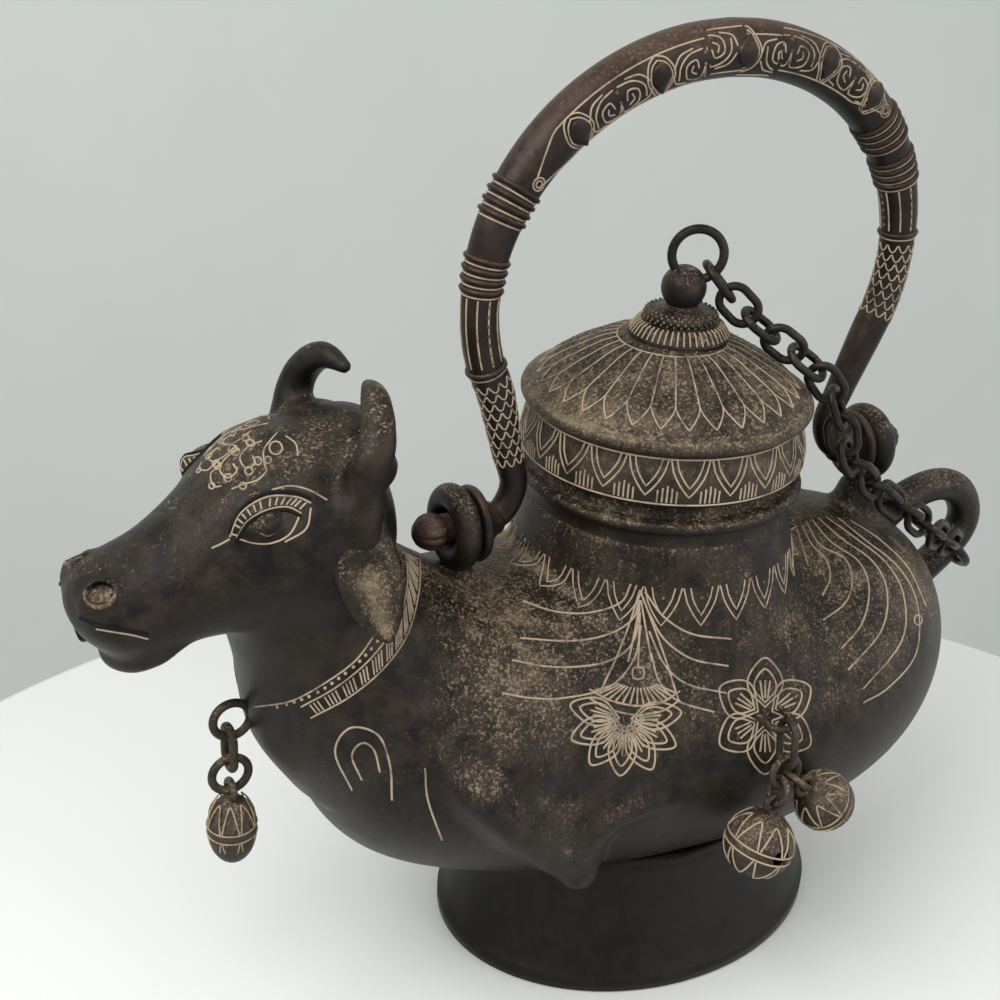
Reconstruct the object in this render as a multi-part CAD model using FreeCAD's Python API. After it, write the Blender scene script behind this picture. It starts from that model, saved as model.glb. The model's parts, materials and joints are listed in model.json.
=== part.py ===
import FreeCAD, Part
import math
import os

# A kamandalu: a water vessel cast as a lying cow, with a filler neck and lid on its back,
# a bail handle hinged in two ring lugs, a chain from the lid to the tail, and hanging bells.
# Millimetres. The sizes count from the centre of the foot's underside, the head points to -X and
# +Z is up. The pieces are written with the origin under the middle of the whole length.

# General sizes
wall = 2.4                      # cast bronze wall
overrun = 1.0                   # how far a cutting solid runs past what it cuts
running_gap = 0.1               # bail journal in its lug
loose_gap = 0.3                 # between pieces of different bodies at rest

# Trunk of the cow
trunk_front_x = -116.0
trunk_length = 219.5
trunk_half_width = 53.5
trunk_half_height = 51.5
trunk_centre_z = 75.5
# Place along the length, centre height, half width and half height
trunk_shares = [
    (0.014, 0.40, 0.30, 0.34),
    (0.050, 0.34, 0.60, 0.62),
    (0.120, 0.25, 0.76, 0.78),
    (0.237, 0.14, 0.885, 0.87),
    (0.364, 0.06, 0.945, 0.93),
    (0.492, 0.02, 0.985, 0.97),
    (0.619, 0.01, 1.00, 0.98),
    (0.746, 0.03, 0.965, 0.95),
    (0.852, 0.05, 0.83, 0.84),
    (0.936, 0.07, 0.60, 0.64),
    (0.982, 0.07, 0.33, 0.37),
]

# Foot ring
foot_half_length = 62.5
foot_half_width = 49.0
foot_height = 27.0
foot_band = 5.0                 # upright band above the table
foot_wall = 3.0
foot_waist_share = 0.80

# Filler neck, on the lid's axis
lid_x = -2.8
neck_bore_r = 32.5
upstand_wall = 2.5
upstand_top_z = 163.0
neck_rim_r = 38.0
neck_rim_z = 147.5
neck_rim_wire_r = 1.7
neck_throat_r = 37.0
neck_throat_z = 141.0
neck_flare_r = 46.0
neck_flare_z = 106.0

# Lid
lid_bead_r = 38.7
lid_bead_z = 169.8
lid_bead_wire_r = 2.0
lid_skirt_r = 39.4
lid_skirt_bottom_z = 153.8
lid_collar_r = 13.6
lid_collar_z = 186.6
lid_collar_height = 4.4
lid_wall = 2.2
finial_ball_r = 6.1
finial_ball_z = 199.9
finial_cushion_r = 9.4
finial_shift = 2.0              # stands a little towards the tail
lid_ring_wire_r = 1.25
lid_ring_r = 6.9
lid_ring_turn = -28.0           # degrees about the lid's axis
lid_ring_shift = 2.8            # its centre stands aside from the ball's centre, along its plane
lid_ring_rise = 9.1             # its centre above the ball's centre
lid_ring_gap = 0.6              # room in the ball's hole, for the ring to tilt

# Neck and head of the cow: sections across the neck's rising centre line
neck_lean = 58.0                # degrees above the horizontal, towards the head
neck_base_x = -84.5
neck_base_z = 92.0
neck_rise = 72.0
neck_half_depth = 36.5
neck_half_width = 37.0
# Share of the rise, half depth and half width
neck_shares = [(0.0, 0.94, 1.0), (0.30, 0.92, 0.88), (0.58, 0.68, 0.73), (0.84, 0.52, 0.62)]

head_back_x = -90.0
head_length = 80.0
head_half_width = 28.0
head_half_height = 25.0
head_centre_z = 152.0
# Place along the length, centre height, half width and half height
head_shares = [
    (0.00, 0.00, 0.45, 0.50),
    (0.05, 0.00, 0.68, 0.76),
    (0.15, 0.06, 0.91, 0.98),
    (0.2625, 0.08, 1.00, 1.02),
    (0.375, 0.06, 0.98, 0.99),
    (0.50, -0.04, 0.82, 0.88),
    (0.625, -0.22, 0.64, 0.72),
    (0.75, -0.40, 0.55, 0.62),
    (0.85, -0.50, 0.535, 0.60),
    (0.93, -0.50, 0.46, 0.51),
    (0.985, -0.36, 0.28, 0.32),
]
mouth_bore_r = 3.6
mouth_z = 135.5
mouth_slit_height = 2.0
mouth_depth = 20.0
nostril_r = 1.9
nostril_depth = 4.0

# Horns: place along the head, of its half width and of its half height, and share of the root's radius
horn_root_r = 6.2
horn_shares = [(0.205, 0.68, 0.46, 1.0), (0.165, 0.84, 0.88, 0.92), (0.125, 0.80, 1.24, 0.76),
               (0.090, 0.49, 1.48, 0.50), (0.060, 0.15, 1.45, 0.16)]

# Ears: a hanging leaf
ear_root_shares = (0.22, 0.86, 0.52)    # of the head's length, half width and half height
ear_length = 28.0
ear_half_width = 7.6
ear_half_thickness = 2.7
ear_hang = 64.0                 # degrees below the horizontal
ear_hollow = 1.4
# Share of the length, of the half width and of the half thickness
ear_shares = [(0.0, 0.45, 0.85), (0.22, 0.85, 1.0), (0.50, 1.0, 1.0), (0.78, 0.72, 0.8), (1.0, 0.16, 0.3)]

# Bail and its lugs
hinge_z = 141.8
bail_x = 3.5
arch_shift = 1.8                # the arch's centre stands further towards the tail
lug_half_span = 70.8
lug_ring_r = 8.3
lug_wire_r = 3.5
lug_stem_r = 4.2
arch_r = 68.0
arch_rise = 59.6
arch_centre_z = 202.2
arch_end_angle = -24.0
bar_crown_r = 7.2
bar_leg_r = 4.8
bar_end_r = 3.7
journal_collar_r = 10.5
journal_collar_width = 5.0
bud_length = 8.5
bud_r = 5.0
bail_foot_in = 17.0             # how far inside the lug the leg comes down
bail_ring_r = 0.9               # moulded rings round the bar
bail_ring_pitch = 3.2
bail_ring_count = 4
bail_ring_angles = (34.0, 14.0) # degrees above the arch's centre, for each group

# Folded forelegs, from the elbow to the hoof: places along, beside and above the trunk's centre, and radius
foreleg_r = 10.5
foreleg_shares = [(0.210, 0.710, 0.282, 1.0), (0.255, 0.766, 0.029, 0.90), (0.292, 0.785, -0.204, 0.78),
                  (0.319, 0.766, -0.398, 0.65), (0.333, 0.738, -0.505, 0.43)]

# Tail loop
tail_wire_r = 5.2
# Place along the trunk's length and height above its centre, from the upper to the lower root
tail_shares = [(0.905, 0.60), (0.990, 0.86), (1.066, 0.81), (1.095, 0.58), (1.046, 0.32), (0.965, 0.06)]
tail_ring_wire_r = 1.4
tail_ring_share = 0.70          # place of the ring along the tail's curve
tail_ring_hook = 45.0           # degrees from the curve's plane to where the chain ends

# Chain of oval links, from the lid ring over the lid's edge and the rump to the tail ring
link_wire_r = 1.15
link_length = 14.0
link_width = 10.4
chain_count = 19
chain_turn = -28.0              # degrees about the lid's axis, where it crosses the lid's edge
chain_hook_angle = -47.0        # degrees, where the first link hangs in the lid ring
chain_hook = 1.6                # how far the chain's line stops short of the ring's wire at either end
# Reach from the lid's axis and height from the bead to the ball, then shares of the trunk
chain_lid_shares = [(0.385, 0.84), (0.675, 0.535), (0.950, 0.25), (1.105, -0.06), (1.18, -0.55)]
chain_back_shares = [(0.772, -0.41, 1.33), (0.845, -0.35, 1.08), (0.898, -0.33, 0.935),
                     (0.955, -0.30, 0.75)]
long_links = (12, 13)           # two longer links, which leave the chain slack for the lid to rise
long_link_extra = 2.8
long_link_slack = 5.7           # how far they slide into each other while the lid is on

# Bells and what they hang from
bell_wall = 1.2
bell_eye_r = 2.5
bell_eye_wire_r = 1.0
bell_hole_r = 2.6
bell_rows = (-0.94, -0.75, -0.4, 0.0, 0.4, 0.75, 0.94)  # heights of the egg's sections
pellet_r = 3.0
breast_bell_r = 6.6
breast_bell_height = 21.0
breast_wire_r = 1.15
breast_lug_x = -130.0
breast_lug_z = 99.0
breast_lug_r = 5.0
breast_hook_turn = math.radians(80.0)
breast_link_length = 14.4
breast_link_width = 9.0
breast_ring_r = 5.0
flank_bell_r = 9.6
second_bell_r = 8.4
flank_lug_x = 6.0
flank_lug_y = 51.5
flank_lug_z = 93.0
flank_lug_length = 16.0
flank_lug_width = 10.0
flank_wire_r = 1.0
flank_link_length = 15.5
flank_link_width = 8.0
flank_ring_r = 4.5
bell_link_length = 9.4
bell_leans = (-20.0, 48.0)      # degrees from straight down, along the body
flank_lean = 6.0                # degrees, bells outwards


Point = FreeCAD.Vector


def oval(centre, across, upward, half_across, half_upward, points=12):
    """Closed smooth oval round a centre, in the plane of two unit directions."""
    ring = []
    for i in range(points):
        turn = 2.0 * math.pi * i / points
        ring.append(centre + across * (half_across * math.cos(turn))
                    + upward * (half_upward * math.sin(turn)))
    curve = Part.BSplineCurve()
    curve.interpolate(Points=ring, PeriodicFlag=True)
    return Part.Wire(curve.toShape())


def loft(wires, first_tip=None, last_tip=None):
    """Solid through the sections, closed by a point at either end where one is given."""
    sections = list(wires)
    if first_tip is not None:
        sections.insert(0, Part.Vertex(first_tip))
    if last_tip is not None:
        sections.append(Part.Vertex(last_tip))
    return Part.makeLoft(sections, True, False)


def revolve(points, axis_x=0.0, axis_y=0.0):
    """Solid of revolution about an upright axis from a closed outline of (radius, height)."""
    outline = Part.makePolygon([Point(axis_x + r, axis_y, z) for r, z in points + points[:1]])
    return Part.Face(outline).revolve(Point(axis_x, axis_y, 0), Point(0, 0, 1), 360)


def joined(solids):
    """One solid from overlapping ones."""
    return solids[0].multiFuse(solids[1:]).removeSplitter()


def ball(centre, radius):
    return Part.makeSphere(radius, centre)


# Trunk

X = Point(1, 0, 0)
Y = Point(0, 1, 0)
Z = Point(0, 0, 1)


def trunk_solid(inset):
    """Trunk of the cow; inset shrinks it evenly to give the hollow inside."""
    wires = []
    for along, rise, wide, high in trunk_shares:
        half_wide = trunk_half_width * wide - inset
        half_high = trunk_half_height * high - inset
        if min(half_wide, half_high) > 2.0 * inset:
            centre = Point(trunk_front_x + trunk_length * along, 0,
                                    trunk_centre_z + trunk_half_height * rise)
            wires.append(oval(centre, Y, Z, half_wide, half_high))
    if inset > 0:
        return loft(wires)
    first = Point(trunk_front_x, 0, trunk_centre_z + trunk_half_height * trunk_shares[0][1])
    last = Point(trunk_front_x + trunk_length, 0,
                 trunk_centre_z + trunk_half_height * trunk_shares[-1][1])
    return loft(wires, first, last)


# Neck and head

neck_along = Point(-math.cos(math.radians(neck_lean)), 0, math.sin(math.radians(neck_lean)))
neck_back = Point(math.sin(math.radians(neck_lean)), 0, math.cos(math.radians(neck_lean)))


def neck_solid(inset):
    base = Point(neck_base_x, 0, neck_base_z)
    wires = []
    for along, deep, wide in neck_shares:
        wires.append(oval(base + neck_along * (neck_rise * along), neck_back, Y,
                          neck_half_depth * deep - inset, neck_half_width * wide - inset))
    return loft(wires)


def head_solid(inset):
    wires = []
    for along, rise, wide, high in head_shares:
        half_wide = head_half_width * wide - inset
        half_high = head_half_height * high - inset
        if min(half_wide, half_high) > 2.0 * inset and (inset == 0 or head_length * along > inset):
            centre = Point(head_back_x - head_length * along, 0, head_centre_z + head_half_height * rise)
            wires.append(oval(centre, Y, Z, half_wide, half_high))
    if inset > 0:
        return loft(wires)
    tip = Point(head_back_x - head_length, 0, head_centre_z + head_half_height * head_shares[-1][1])
    return loft(wires, None, tip)


trunk_outer = trunk_solid(0)
trunk_inner = trunk_solid(wall)
head_outer = joined([neck_solid(0), head_solid(0)])
head_inner = joined([neck_solid(wall), head_solid(wall)])

muzzle_tip_x = head_back_x - head_length
mouth_x = muzzle_tip_x - overrun
mouth_bore = Part.makeCylinder(mouth_bore_r, head_length / 2.0, Point(mouth_x, 0, mouth_z), X)
mouth_slit = Part.makeBox(mouth_depth, head_half_width * 2.0, mouth_slit_height,
                          Point(mouth_x, -head_half_width, mouth_z - mouth_slit_height / 2.0))


def head_and_neck():
    shell = head_outer.cut(head_inner).cut(trunk_outer).cut(mouth_bore).cut(mouth_slit)
    for side in (-1, 1):
        place = Point(muzzle_tip_x + nostril_depth, side * head_half_width * 0.32,
                      head_centre_z - head_half_height * 0.22)
        shell = shell.cut(ball(place, nostril_r * 1.6))
    return max(shell.Solids, key=lambda s: s.Volume)


def foreleg(side):
    """Folded foreleg in relief, from the elbow down to the hoof."""
    points = [Point(trunk_front_x + trunk_length * along, trunk_half_width * aside,
                             trunk_centre_z + trunk_half_height * rise)
              for along, aside, rise, r in foreleg_shares]
    leg = tapered(points, [foreleg_r * r for along, aside, rise, r in foreleg_shares], Y, 2)
    relief = mirrored(leg, side).cut(trunk_inner)
    return max(relief.Solids, key=lambda s: s.Volume)


def vessel_body():
    middle = Point(lid_x, 0, trunk_centre_z)
    bore = Part.makeCylinder(neck_bore_r, trunk_half_height + wall, middle, Z)
    shell = trunk_outer.cut(trunk_inner).cut(bore).cut(head_inner)
    shell = shell.multiFuse([foreleg(side).cut(head_outer) for side in (-1, 1)])
    return max(shell.Solids, key=lambda s: s.Volume)


def foot_ring():
    """Oval ring flared outwards, its top cut to the belly."""
    def cone(half_long, half_wide, waist_share, band, top, low):
        rows = [(low, 1.0), (band, 0.99), (band + (top - band) * 0.35, 1.0 - (1.0 - waist_share) * 0.62),
                (band + (top - band) * 0.70, 1.0 - (1.0 - waist_share) * 0.92), (top, waist_share)]
        return loft([oval(Z * z, X, Y, half_long * s, half_wide * s, 16) for z, s in rows])
    top = foot_height + trunk_half_height / 3.0
    outer = cone(foot_half_length, foot_half_width, foot_waist_share, foot_band, top, 0)
    inner = cone(foot_half_length - foot_wall, foot_half_width - foot_wall, foot_waist_share, foot_band,
                 top + overrun, -overrun)
    ring = outer.cut(inner).cut(trunk_outer)
    return min(ring.Solids, key=lambda s: s.CenterOfMass.z)


def filler_neck():
    """Neck with the rolled rim, and the upstand that the lid fits over."""
    upstand_r = neck_bore_r + upstand_wall
    spread = neck_flare_r - neck_throat_r
    drop = neck_throat_z - neck_flare_z
    outline = [(neck_bore_r, upstand_top_z), (upstand_r, upstand_top_z),
               (upstand_r, neck_rim_z + neck_rim_wire_r), (neck_rim_r, neck_rim_z + neck_rim_wire_r),
               (neck_rim_r, neck_rim_z - neck_rim_wire_r), (neck_throat_r, neck_throat_z),
               (neck_throat_r + spread * 0.16, neck_throat_z - drop * 0.30),
               (neck_throat_r + spread * 0.54, neck_throat_z - drop * 0.62),
               (neck_flare_r, neck_flare_z), (neck_flare_r, trunk_centre_z), (neck_bore_r, trunk_centre_z)]
    body = revolve(outline, lid_x)
    rim = Part.makeTorus(neck_rim_r, neck_rim_wire_r, Point(lid_x, 0, neck_rim_z))
    neck = joined([body, rim]).cut(trunk_outer)
    return max(neck.Solids, key=lambda s: s.Volume)


# Lid, finial and ring

def lid():
    upstand_r = neck_bore_r + upstand_wall
    skirt_inner_r = upstand_r + 2.0 * loose_gap
    rise = lid_collar_z - lid_bead_z
    outline = [
        (0, lid_collar_z), (lid_collar_r, lid_collar_z),
        (lid_bead_r * 0.62, lid_bead_z + rise * 0.74), (lid_bead_r * 0.86, lid_bead_z + rise * 0.42),
        (lid_bead_r - lid_bead_wire_r * 0.4, lid_bead_z + lid_bead_wire_r),
        (lid_bead_r + lid_bead_wire_r * 0.3, lid_bead_z),
        (lid_bead_r - lid_bead_wire_r * 0.6, lid_bead_z - lid_bead_wire_r),
        (lid_bead_r - lid_bead_wire_r, lid_bead_z - lid_bead_wire_r * 1.8),
        (lid_skirt_r, lid_bead_z - (lid_bead_z - lid_skirt_bottom_z) * 0.5),
        (lid_skirt_r, lid_bead_z - (lid_bead_z - lid_skirt_bottom_z) * 0.7),
        (lid_skirt_r - lid_wall / 2.0, lid_skirt_bottom_z), (skirt_inner_r, lid_skirt_bottom_z),
        (skirt_inner_r, upstand_top_z), (neck_bore_r - lid_wall, upstand_top_z),
        (lid_bead_r * 0.62, lid_bead_z + rise * 0.74 - lid_wall * 1.4),
        (lid_collar_r * 0.5, lid_collar_z - lid_wall),
        (0, lid_collar_z - lid_wall),
    ]
    return revolve(outline, lid_x)


ring_turn = math.radians(lid_ring_turn)
ring_across = Point(math.cos(ring_turn), math.sin(ring_turn), 0)
ring_normal = Point(-ring_across.y, ring_across.x, 0)
finial_x = lid_x + finial_shift
ring_centre = Point(finial_x, 0, finial_ball_z + lid_ring_rise) + ring_across * lid_ring_shift


def lid_ring():
    return Part.makeTorus(lid_ring_r, lid_ring_wire_r, ring_centre, ring_normal)


def lid_finial():
    """Hatched collar, cushion and drilled ball, as one casting on the lid."""
    top = lid_collar_z + lid_collar_height
    outline = [(0, lid_collar_z), (lid_collar_r * 0.98, lid_collar_z),
               (lid_collar_r * 0.80, top - lid_collar_height * 0.2),
               (finial_cushion_r * 0.85, top), (finial_cushion_r, top + finial_ball_r * 0.2),
               (finial_cushion_r * 0.80, top + finial_ball_r * 0.45),
               (finial_ball_r * 0.66, top + finial_ball_r * 0.55),
               (finial_ball_r * 0.60, finial_ball_z), (0, finial_ball_z)]
    stem = revolve(outline, finial_x)
    finial = joined([stem, ball(Point(finial_x, 0, finial_ball_z), finial_ball_r)])
    hole = Part.makeTorus(lid_ring_r, lid_ring_wire_r + lid_ring_gap, ring_centre, ring_normal)
    return max(finial.cut(hole).Solids, key=lambda s: s.Volume)


# Horns, ears and tail

def on_head(along, aside, rise):
    """Place on the side of the head at +Y, by shares of its length, half width and half height."""
    return Point(head_back_x - head_length * along, head_half_width * aside,
                 head_centre_z + head_half_height * rise)


def mirrored(shape, side):
    """The shape modelled at +Y, or its mirror image at -Y."""
    return shape if side > 0 else shape.mirror(Point(0, 0, 0), Y)


def tapered(points, radii, across=None, steps=1):
    """Round rod along a smooth curve through the points, with a radius at each point."""
    curve = Part.BSplineCurve()
    curve.interpolate(Points=points)
    places = [curve.parameter(point) for point in points]
    wires = []
    for i in range((len(points) - 1) * steps + 1):
        span = min(i // steps, len(points) - 2)
        share = i / steps - span
        at = places[span] + (places[span + 1] - places[span]) * share
        radius = radii[span] + (radii[span + 1] - radii[span]) * share
        tangent = Point(curve.tangent(at)[0])
        first = tangent.cross(across or X)
        first.normalize()
        wires.append(oval(curve.value(at), first, tangent.cross(first), radius, radius, 8))
    return loft(wires)


def horn(side):
    points = [on_head(along, aside, rise) for along, aside, rise, r in horn_shares]
    radii = [horn_root_r * share for along, aside, rise, share in horn_shares]
    body = mirrored(tapered(points, radii), side).cut(head_outer)
    return max(body.Solids, key=lambda s: s.Volume)


def ear(side):
    """Hanging leaf, dished on its outer face."""
    hang = math.radians(ear_hang)
    along = Point(0, math.cos(hang), -math.sin(hang))
    thick = Point(0, math.sin(hang), math.cos(hang))
    root = on_head(*ear_root_shares)

    def leaf(narrower, shift):
        return loft([oval(root + along * (ear_length * s) + thick * shift, X, thick,
                          ear_half_width * w * narrower, ear_half_thickness * t, 10)
                     for s, w, t in ear_shares])
    body = leaf(1.0, 0).cut(leaf(0.8, ear_half_thickness + ear_hollow))
    body = mirrored(body, side).cut(head_outer).cut(horn(side))
    return max(body.Solids, key=lambda s: s.Volume)


tail_points = [Point(trunk_front_x + trunk_length * along, 0,
                     trunk_centre_z + trunk_half_height * rise)
               for along, rise in tail_shares]


def tail_loop():
    loop = tapered(tail_points, [tail_wire_r] * len(tail_points), Y, 3).cut(trunk_outer)
    return max(loop.Solids, key=lambda s: s.Volume)


# Bail and its lugs

def lug(side):
    x = bail_x + side * lug_half_span
    ring = Part.makeTorus(lug_ring_r, lug_wire_r, Point(x, 0, hinge_z), X)
    bore_start = Point(x - lug_wire_r * 2.0, 0, hinge_z)
    bore = Part.makeCylinder(lug_ring_r, lug_wire_r * 4.0, bore_start, X)
    foot_z = trunk_centre_z + trunk_half_height * 0.5
    stem_height = hinge_z - lug_ring_r - foot_z
    stem = Part.makeCone(lug_stem_r * 1.5, lug_stem_r * 0.8, stem_height, Point(x, 0, foot_z), Z)
    body = joined([ring, stem.cut(bore)]).cut(trunk_outer).cut(head_outer)
    return max(body.Solids, key=lambda s: s.Volume)


def bail_path(side):
    """Points and bar radii from the crown down to the journal on one side."""
    rows = []
    for degrees in (90.0, 72.0, 54.0, 36.0, 18.0, 0.0, arch_end_angle):
        turn = math.radians(degrees)
        radius = bar_leg_r + (bar_crown_r - bar_leg_r) * max(0.0, math.sin(turn))
        rows.append((side * arch_shift + arch_r * math.cos(turn),
                     arch_centre_z + arch_rise * math.sin(turn), radius))
    foot = lug_half_span - bail_foot_in
    drop = rows[-1][1] - hinge_z
    rows.append((foot + (rows[-1][0] - foot) * 0.30, hinge_z + drop * 0.52,
                 bar_leg_r + (bar_end_r - bar_leg_r) * 0.7))
    rows.append((foot - (lug_half_span - foot) * 0.02, hinge_z + drop * 0.25, bar_end_r))
    rows.append((foot + (lug_half_span - foot) * 0.20, hinge_z + drop * 0.04, bar_end_r))
    rows.append((foot + (lug_half_span - foot) * 0.62, hinge_z, bar_end_r))
    return [(bail_x + side * x, z, r) for x, z, r in rows]


journal_r = lug_ring_r - lug_wire_r - running_gap


def bail_handle():
    left = bail_path(-1)
    right = bail_path(1)
    rows = left[::-1] + right[1:]
    bar = tapered([Point(x, 0, z) for x, z, r in rows], [r for x, z, r in rows], Y)
    parts = [bar]
    for side in (-1, 1):
        ring_face = bail_x + side * (lug_half_span - lug_wire_r - loose_gap)
        start = ring_face - side * journal_collar_width
        out = X * side
        end = bail_x + side * (lug_half_span + lug_wire_r + loose_gap)
        seat = Point(start, 0, hinge_z)
        parts.append(Part.makeCylinder(journal_collar_r, journal_collar_width, seat, out))
        parts.append(Part.makeCylinder(journal_r, abs(end - start), seat, out))
        for angle in bail_ring_angles:
            for i in range(bail_ring_count):
                step = math.degrees(bail_ring_pitch / arch_r) * (i - (bail_ring_count - 1) / 2.0)
                turn = math.radians(angle + step)
                centre = Point(bail_x + arch_shift + side * arch_r * math.cos(turn), 0,
                                        arch_centre_z + arch_rise * math.sin(turn))
                tangent = Point(-side * arch_r * math.sin(turn), 0, arch_rise * math.cos(turn))
                radius = bar_leg_r + (bar_crown_r - bar_leg_r) * math.sin(turn)
                parts.append(Part.makeTorus(radius, bail_ring_r, centre, tangent))
    return joined(parts)


def bail_bud(side):
    """Ribbed knob closed over the journal's end."""
    start = bail_x + side * (lug_half_span + lug_wire_r + loose_gap)
    rows = [(0.0, 0.80), (0.25, 1.0), (0.6, 0.95), (0.9, 0.55)]
    wires = [oval(Point(start + side * bud_length * s, 0, hinge_z), Y, Z, bud_r * w, bud_r * w, 12)
             for s, w in rows]
    return loft(wires, None, Point(start + side * bud_length, 0, hinge_z))


# Chain

def oval_link(centre, along, normal, length=link_length, width=link_width, wire_r=link_wire_r):
    """Closed wire link: two half rings joined by straight sides."""
    along = Point(along)
    along.normalize()
    normal = normal - along * normal.dot(along)
    normal.normalize()
    bend_r = width / 2.0 - wire_r
    straight = length - width
    across = normal.cross(along)
    halves = []
    for end in (-1, 1):
        half = Part.makeTorus(bend_r, wire_r, Point(0, 0, 0), Z, -180, 180, 180)
        spin = FreeCAD.Rotation(across * -end, along * end, normal, "ZXY")
        half.Placement = FreeCAD.Placement(centre + along * (end * straight / 2.0), spin)
        halves.append(half)
    for side in (-1, 1):
        start = centre + across * (side * bend_r) - along * (straight / 2.0)
        halves.append(Part.makeCylinder(wire_r, straight, start, along))
    return joined(halves)


tail_curve = Part.BSplineCurve()
tail_curve.interpolate(Points=tail_points)
tail_span = tail_curve.LastParameter - tail_curve.FirstParameter
tail_place = tail_curve.FirstParameter + tail_span * tail_ring_share
tail_way = Point(tail_curve.tangent(tail_place)[0])
tail_hook_turn = math.radians(tail_ring_hook)
tail_square = Point(tail_way.z, 0, -tail_way.x)
tail_hook_way = tail_square * math.cos(tail_hook_turn) - Y * math.sin(tail_hook_turn)
tail_ring_r = tail_wire_r + tail_ring_wire_r + link_wire_r + 1.5 * loose_gap
tail_ring_centre = tail_curve.value(tail_place) + tail_hook_way * (link_wire_r + loose_gap / 2.0)
tail_ring_top = tail_ring_centre + tail_hook_way * tail_ring_r


def tail_ring():
    return Part.makeTorus(tail_ring_r, tail_ring_wire_r, tail_ring_centre, tail_way)


ring_hook_turn = math.radians(chain_hook_angle)
ring_hook_way = ring_across * math.cos(ring_hook_turn) + Z * math.sin(ring_hook_turn)
chain_start = ring_centre + ring_hook_way * lid_ring_r


def chain_route():
    """Corner points of the chain, from the lid ring's wire to the tail ring's wire."""
    lid_reach = lid_bead_r + link_width / 2.0
    over = Point(math.cos(math.radians(chain_turn)), math.sin(math.radians(chain_turn)), 0)
    axis = Point(lid_x, 0, 0)
    points = [chain_start]
    for out, rise in chain_lid_shares:
        height = lid_bead_z + (finial_ball_z - lid_bead_z) * rise
        points.append(axis + over * (lid_reach * out) + Z * height)
    for along, aside, rise in chain_back_shares:
        points.append(Point(trunk_front_x + trunk_length * along, trunk_half_width * aside,
                                     trunk_centre_z + trunk_half_height * rise))
    points.append(tail_ring_top)
    first = points[1] - points[0]
    last = points[-2] - points[-1]
    points[0] = points[0] + first * (-chain_hook / first.Length)
    points[-1] = points[-1] + last * (-chain_hook / last.Length)
    return points


def roll_about(along, normal):
    """Turn about a direction, in degrees, from the upright plane to a link's normal."""
    upright = along.cross(Y).cross(along)
    side = along.cross(upright)
    return math.degrees(math.atan2(normal.dot(side) / side.Length, normal.dot(upright) / upright.Length))


def chain_links():
    """Links at even steps along the route, each turned a quarter from the one before, the first and
    the last square to the rings that they hang in."""
    route = chain_route()
    lengths = [(b - a).Length for a, b in zip(route, route[1:])]
    extras = [long_link_extra if number in long_links else 0.0 for number in range(1, chain_count + 1)]
    step = (sum(lengths) + long_link_slack - sum(extras)) / chain_count

    def at(distance):
        for length, a, b in zip(lengths, route, route[1:]):
            if distance <= length:
                return a + (b - a) * (distance / length)
            distance -= length
        return route[-1]
    longest = link_length - 4.0 * link_wire_r
    print("chain step", round(step, 2), "mm; longest step the links allow", round(longest, 2))
    ends = []
    for i, extra in enumerate(extras):
        start = step * i + sum(extras[:i]) - (long_link_slack if i + 1 >= long_links[1] else 0.0)
        ends.append((at(start), at(start + step + extra)))
    first_way = ends[0][1] - ends[0][0]
    last_way = ends[-1][1] - ends[-1][0]
    first_roll = roll_about(first_way, first_way.cross(ring_normal))
    last_roll = roll_about(last_way, last_way.cross(tail_way))
    turns = (last_roll - first_roll - 90.0 * (chain_count - 1)) % 180.0
    twist = (turns if turns < 90.0 else turns - 180.0) / (chain_count - 1)
    links = []
    for i, (start, end) in enumerate(ends):
        along = end - start
        upright = along.cross(Y).cross(along)
        roll = FreeCAD.Rotation(along, first_roll + (90.0 + twist) * i)
        links.append(oval_link((start + end) * 0.5, along, roll.multVec(upright), link_length + extras[i]))
    return links


# Bells: each hangs from an eye, is hollow, holds a loose pellet and has a round sound hole

def bell(eye, radius, height, hole_way, eye_normal):
    """Round or egg-shaped bell below its eye, with its pellet."""
    centre = eye - Z * (bell_eye_r + height / 2.0 - bell_eye_wire_r * 0.4)

    def body(shrink):
        if height <= 2.0 * radius:
            return ball(centre, radius - shrink)
        wires = []
        for row in bell_rows:
            around = (radius - shrink) * math.sqrt(1.0 - row * row)
            wires.append(oval(centre + Z * ((height / 2.0 - shrink) * row), X, Y, around, around))
        return loft(wires, centre - Z * (height / 2.0 - shrink), centre + Z * (height / 2.0 - shrink))

    hole = Part.makeCylinder(bell_hole_r, radius + height, centre, hole_way)
    eye_ring = Part.makeTorus(bell_eye_r, bell_eye_wire_r, eye, eye_normal)
    shell = joined([body(0).cut(body(bell_wall)).cut(hole), eye_ring])
    pellet = ball(centre - Z * (height / 2.0 - bell_wall - pellet_r - loose_gap), pellet_r)
    return max(shell.Solids, key=lambda s: s.Volume), pellet


def hung(upper_z, upper_wire_r, lower_half, lower_wire_r):
    """Height of a hanging piece's centre, its top wire hooked just under the upper wire's top side."""
    return upper_z + upper_wire_r + lower_wire_r + loose_gap - lower_half


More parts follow.
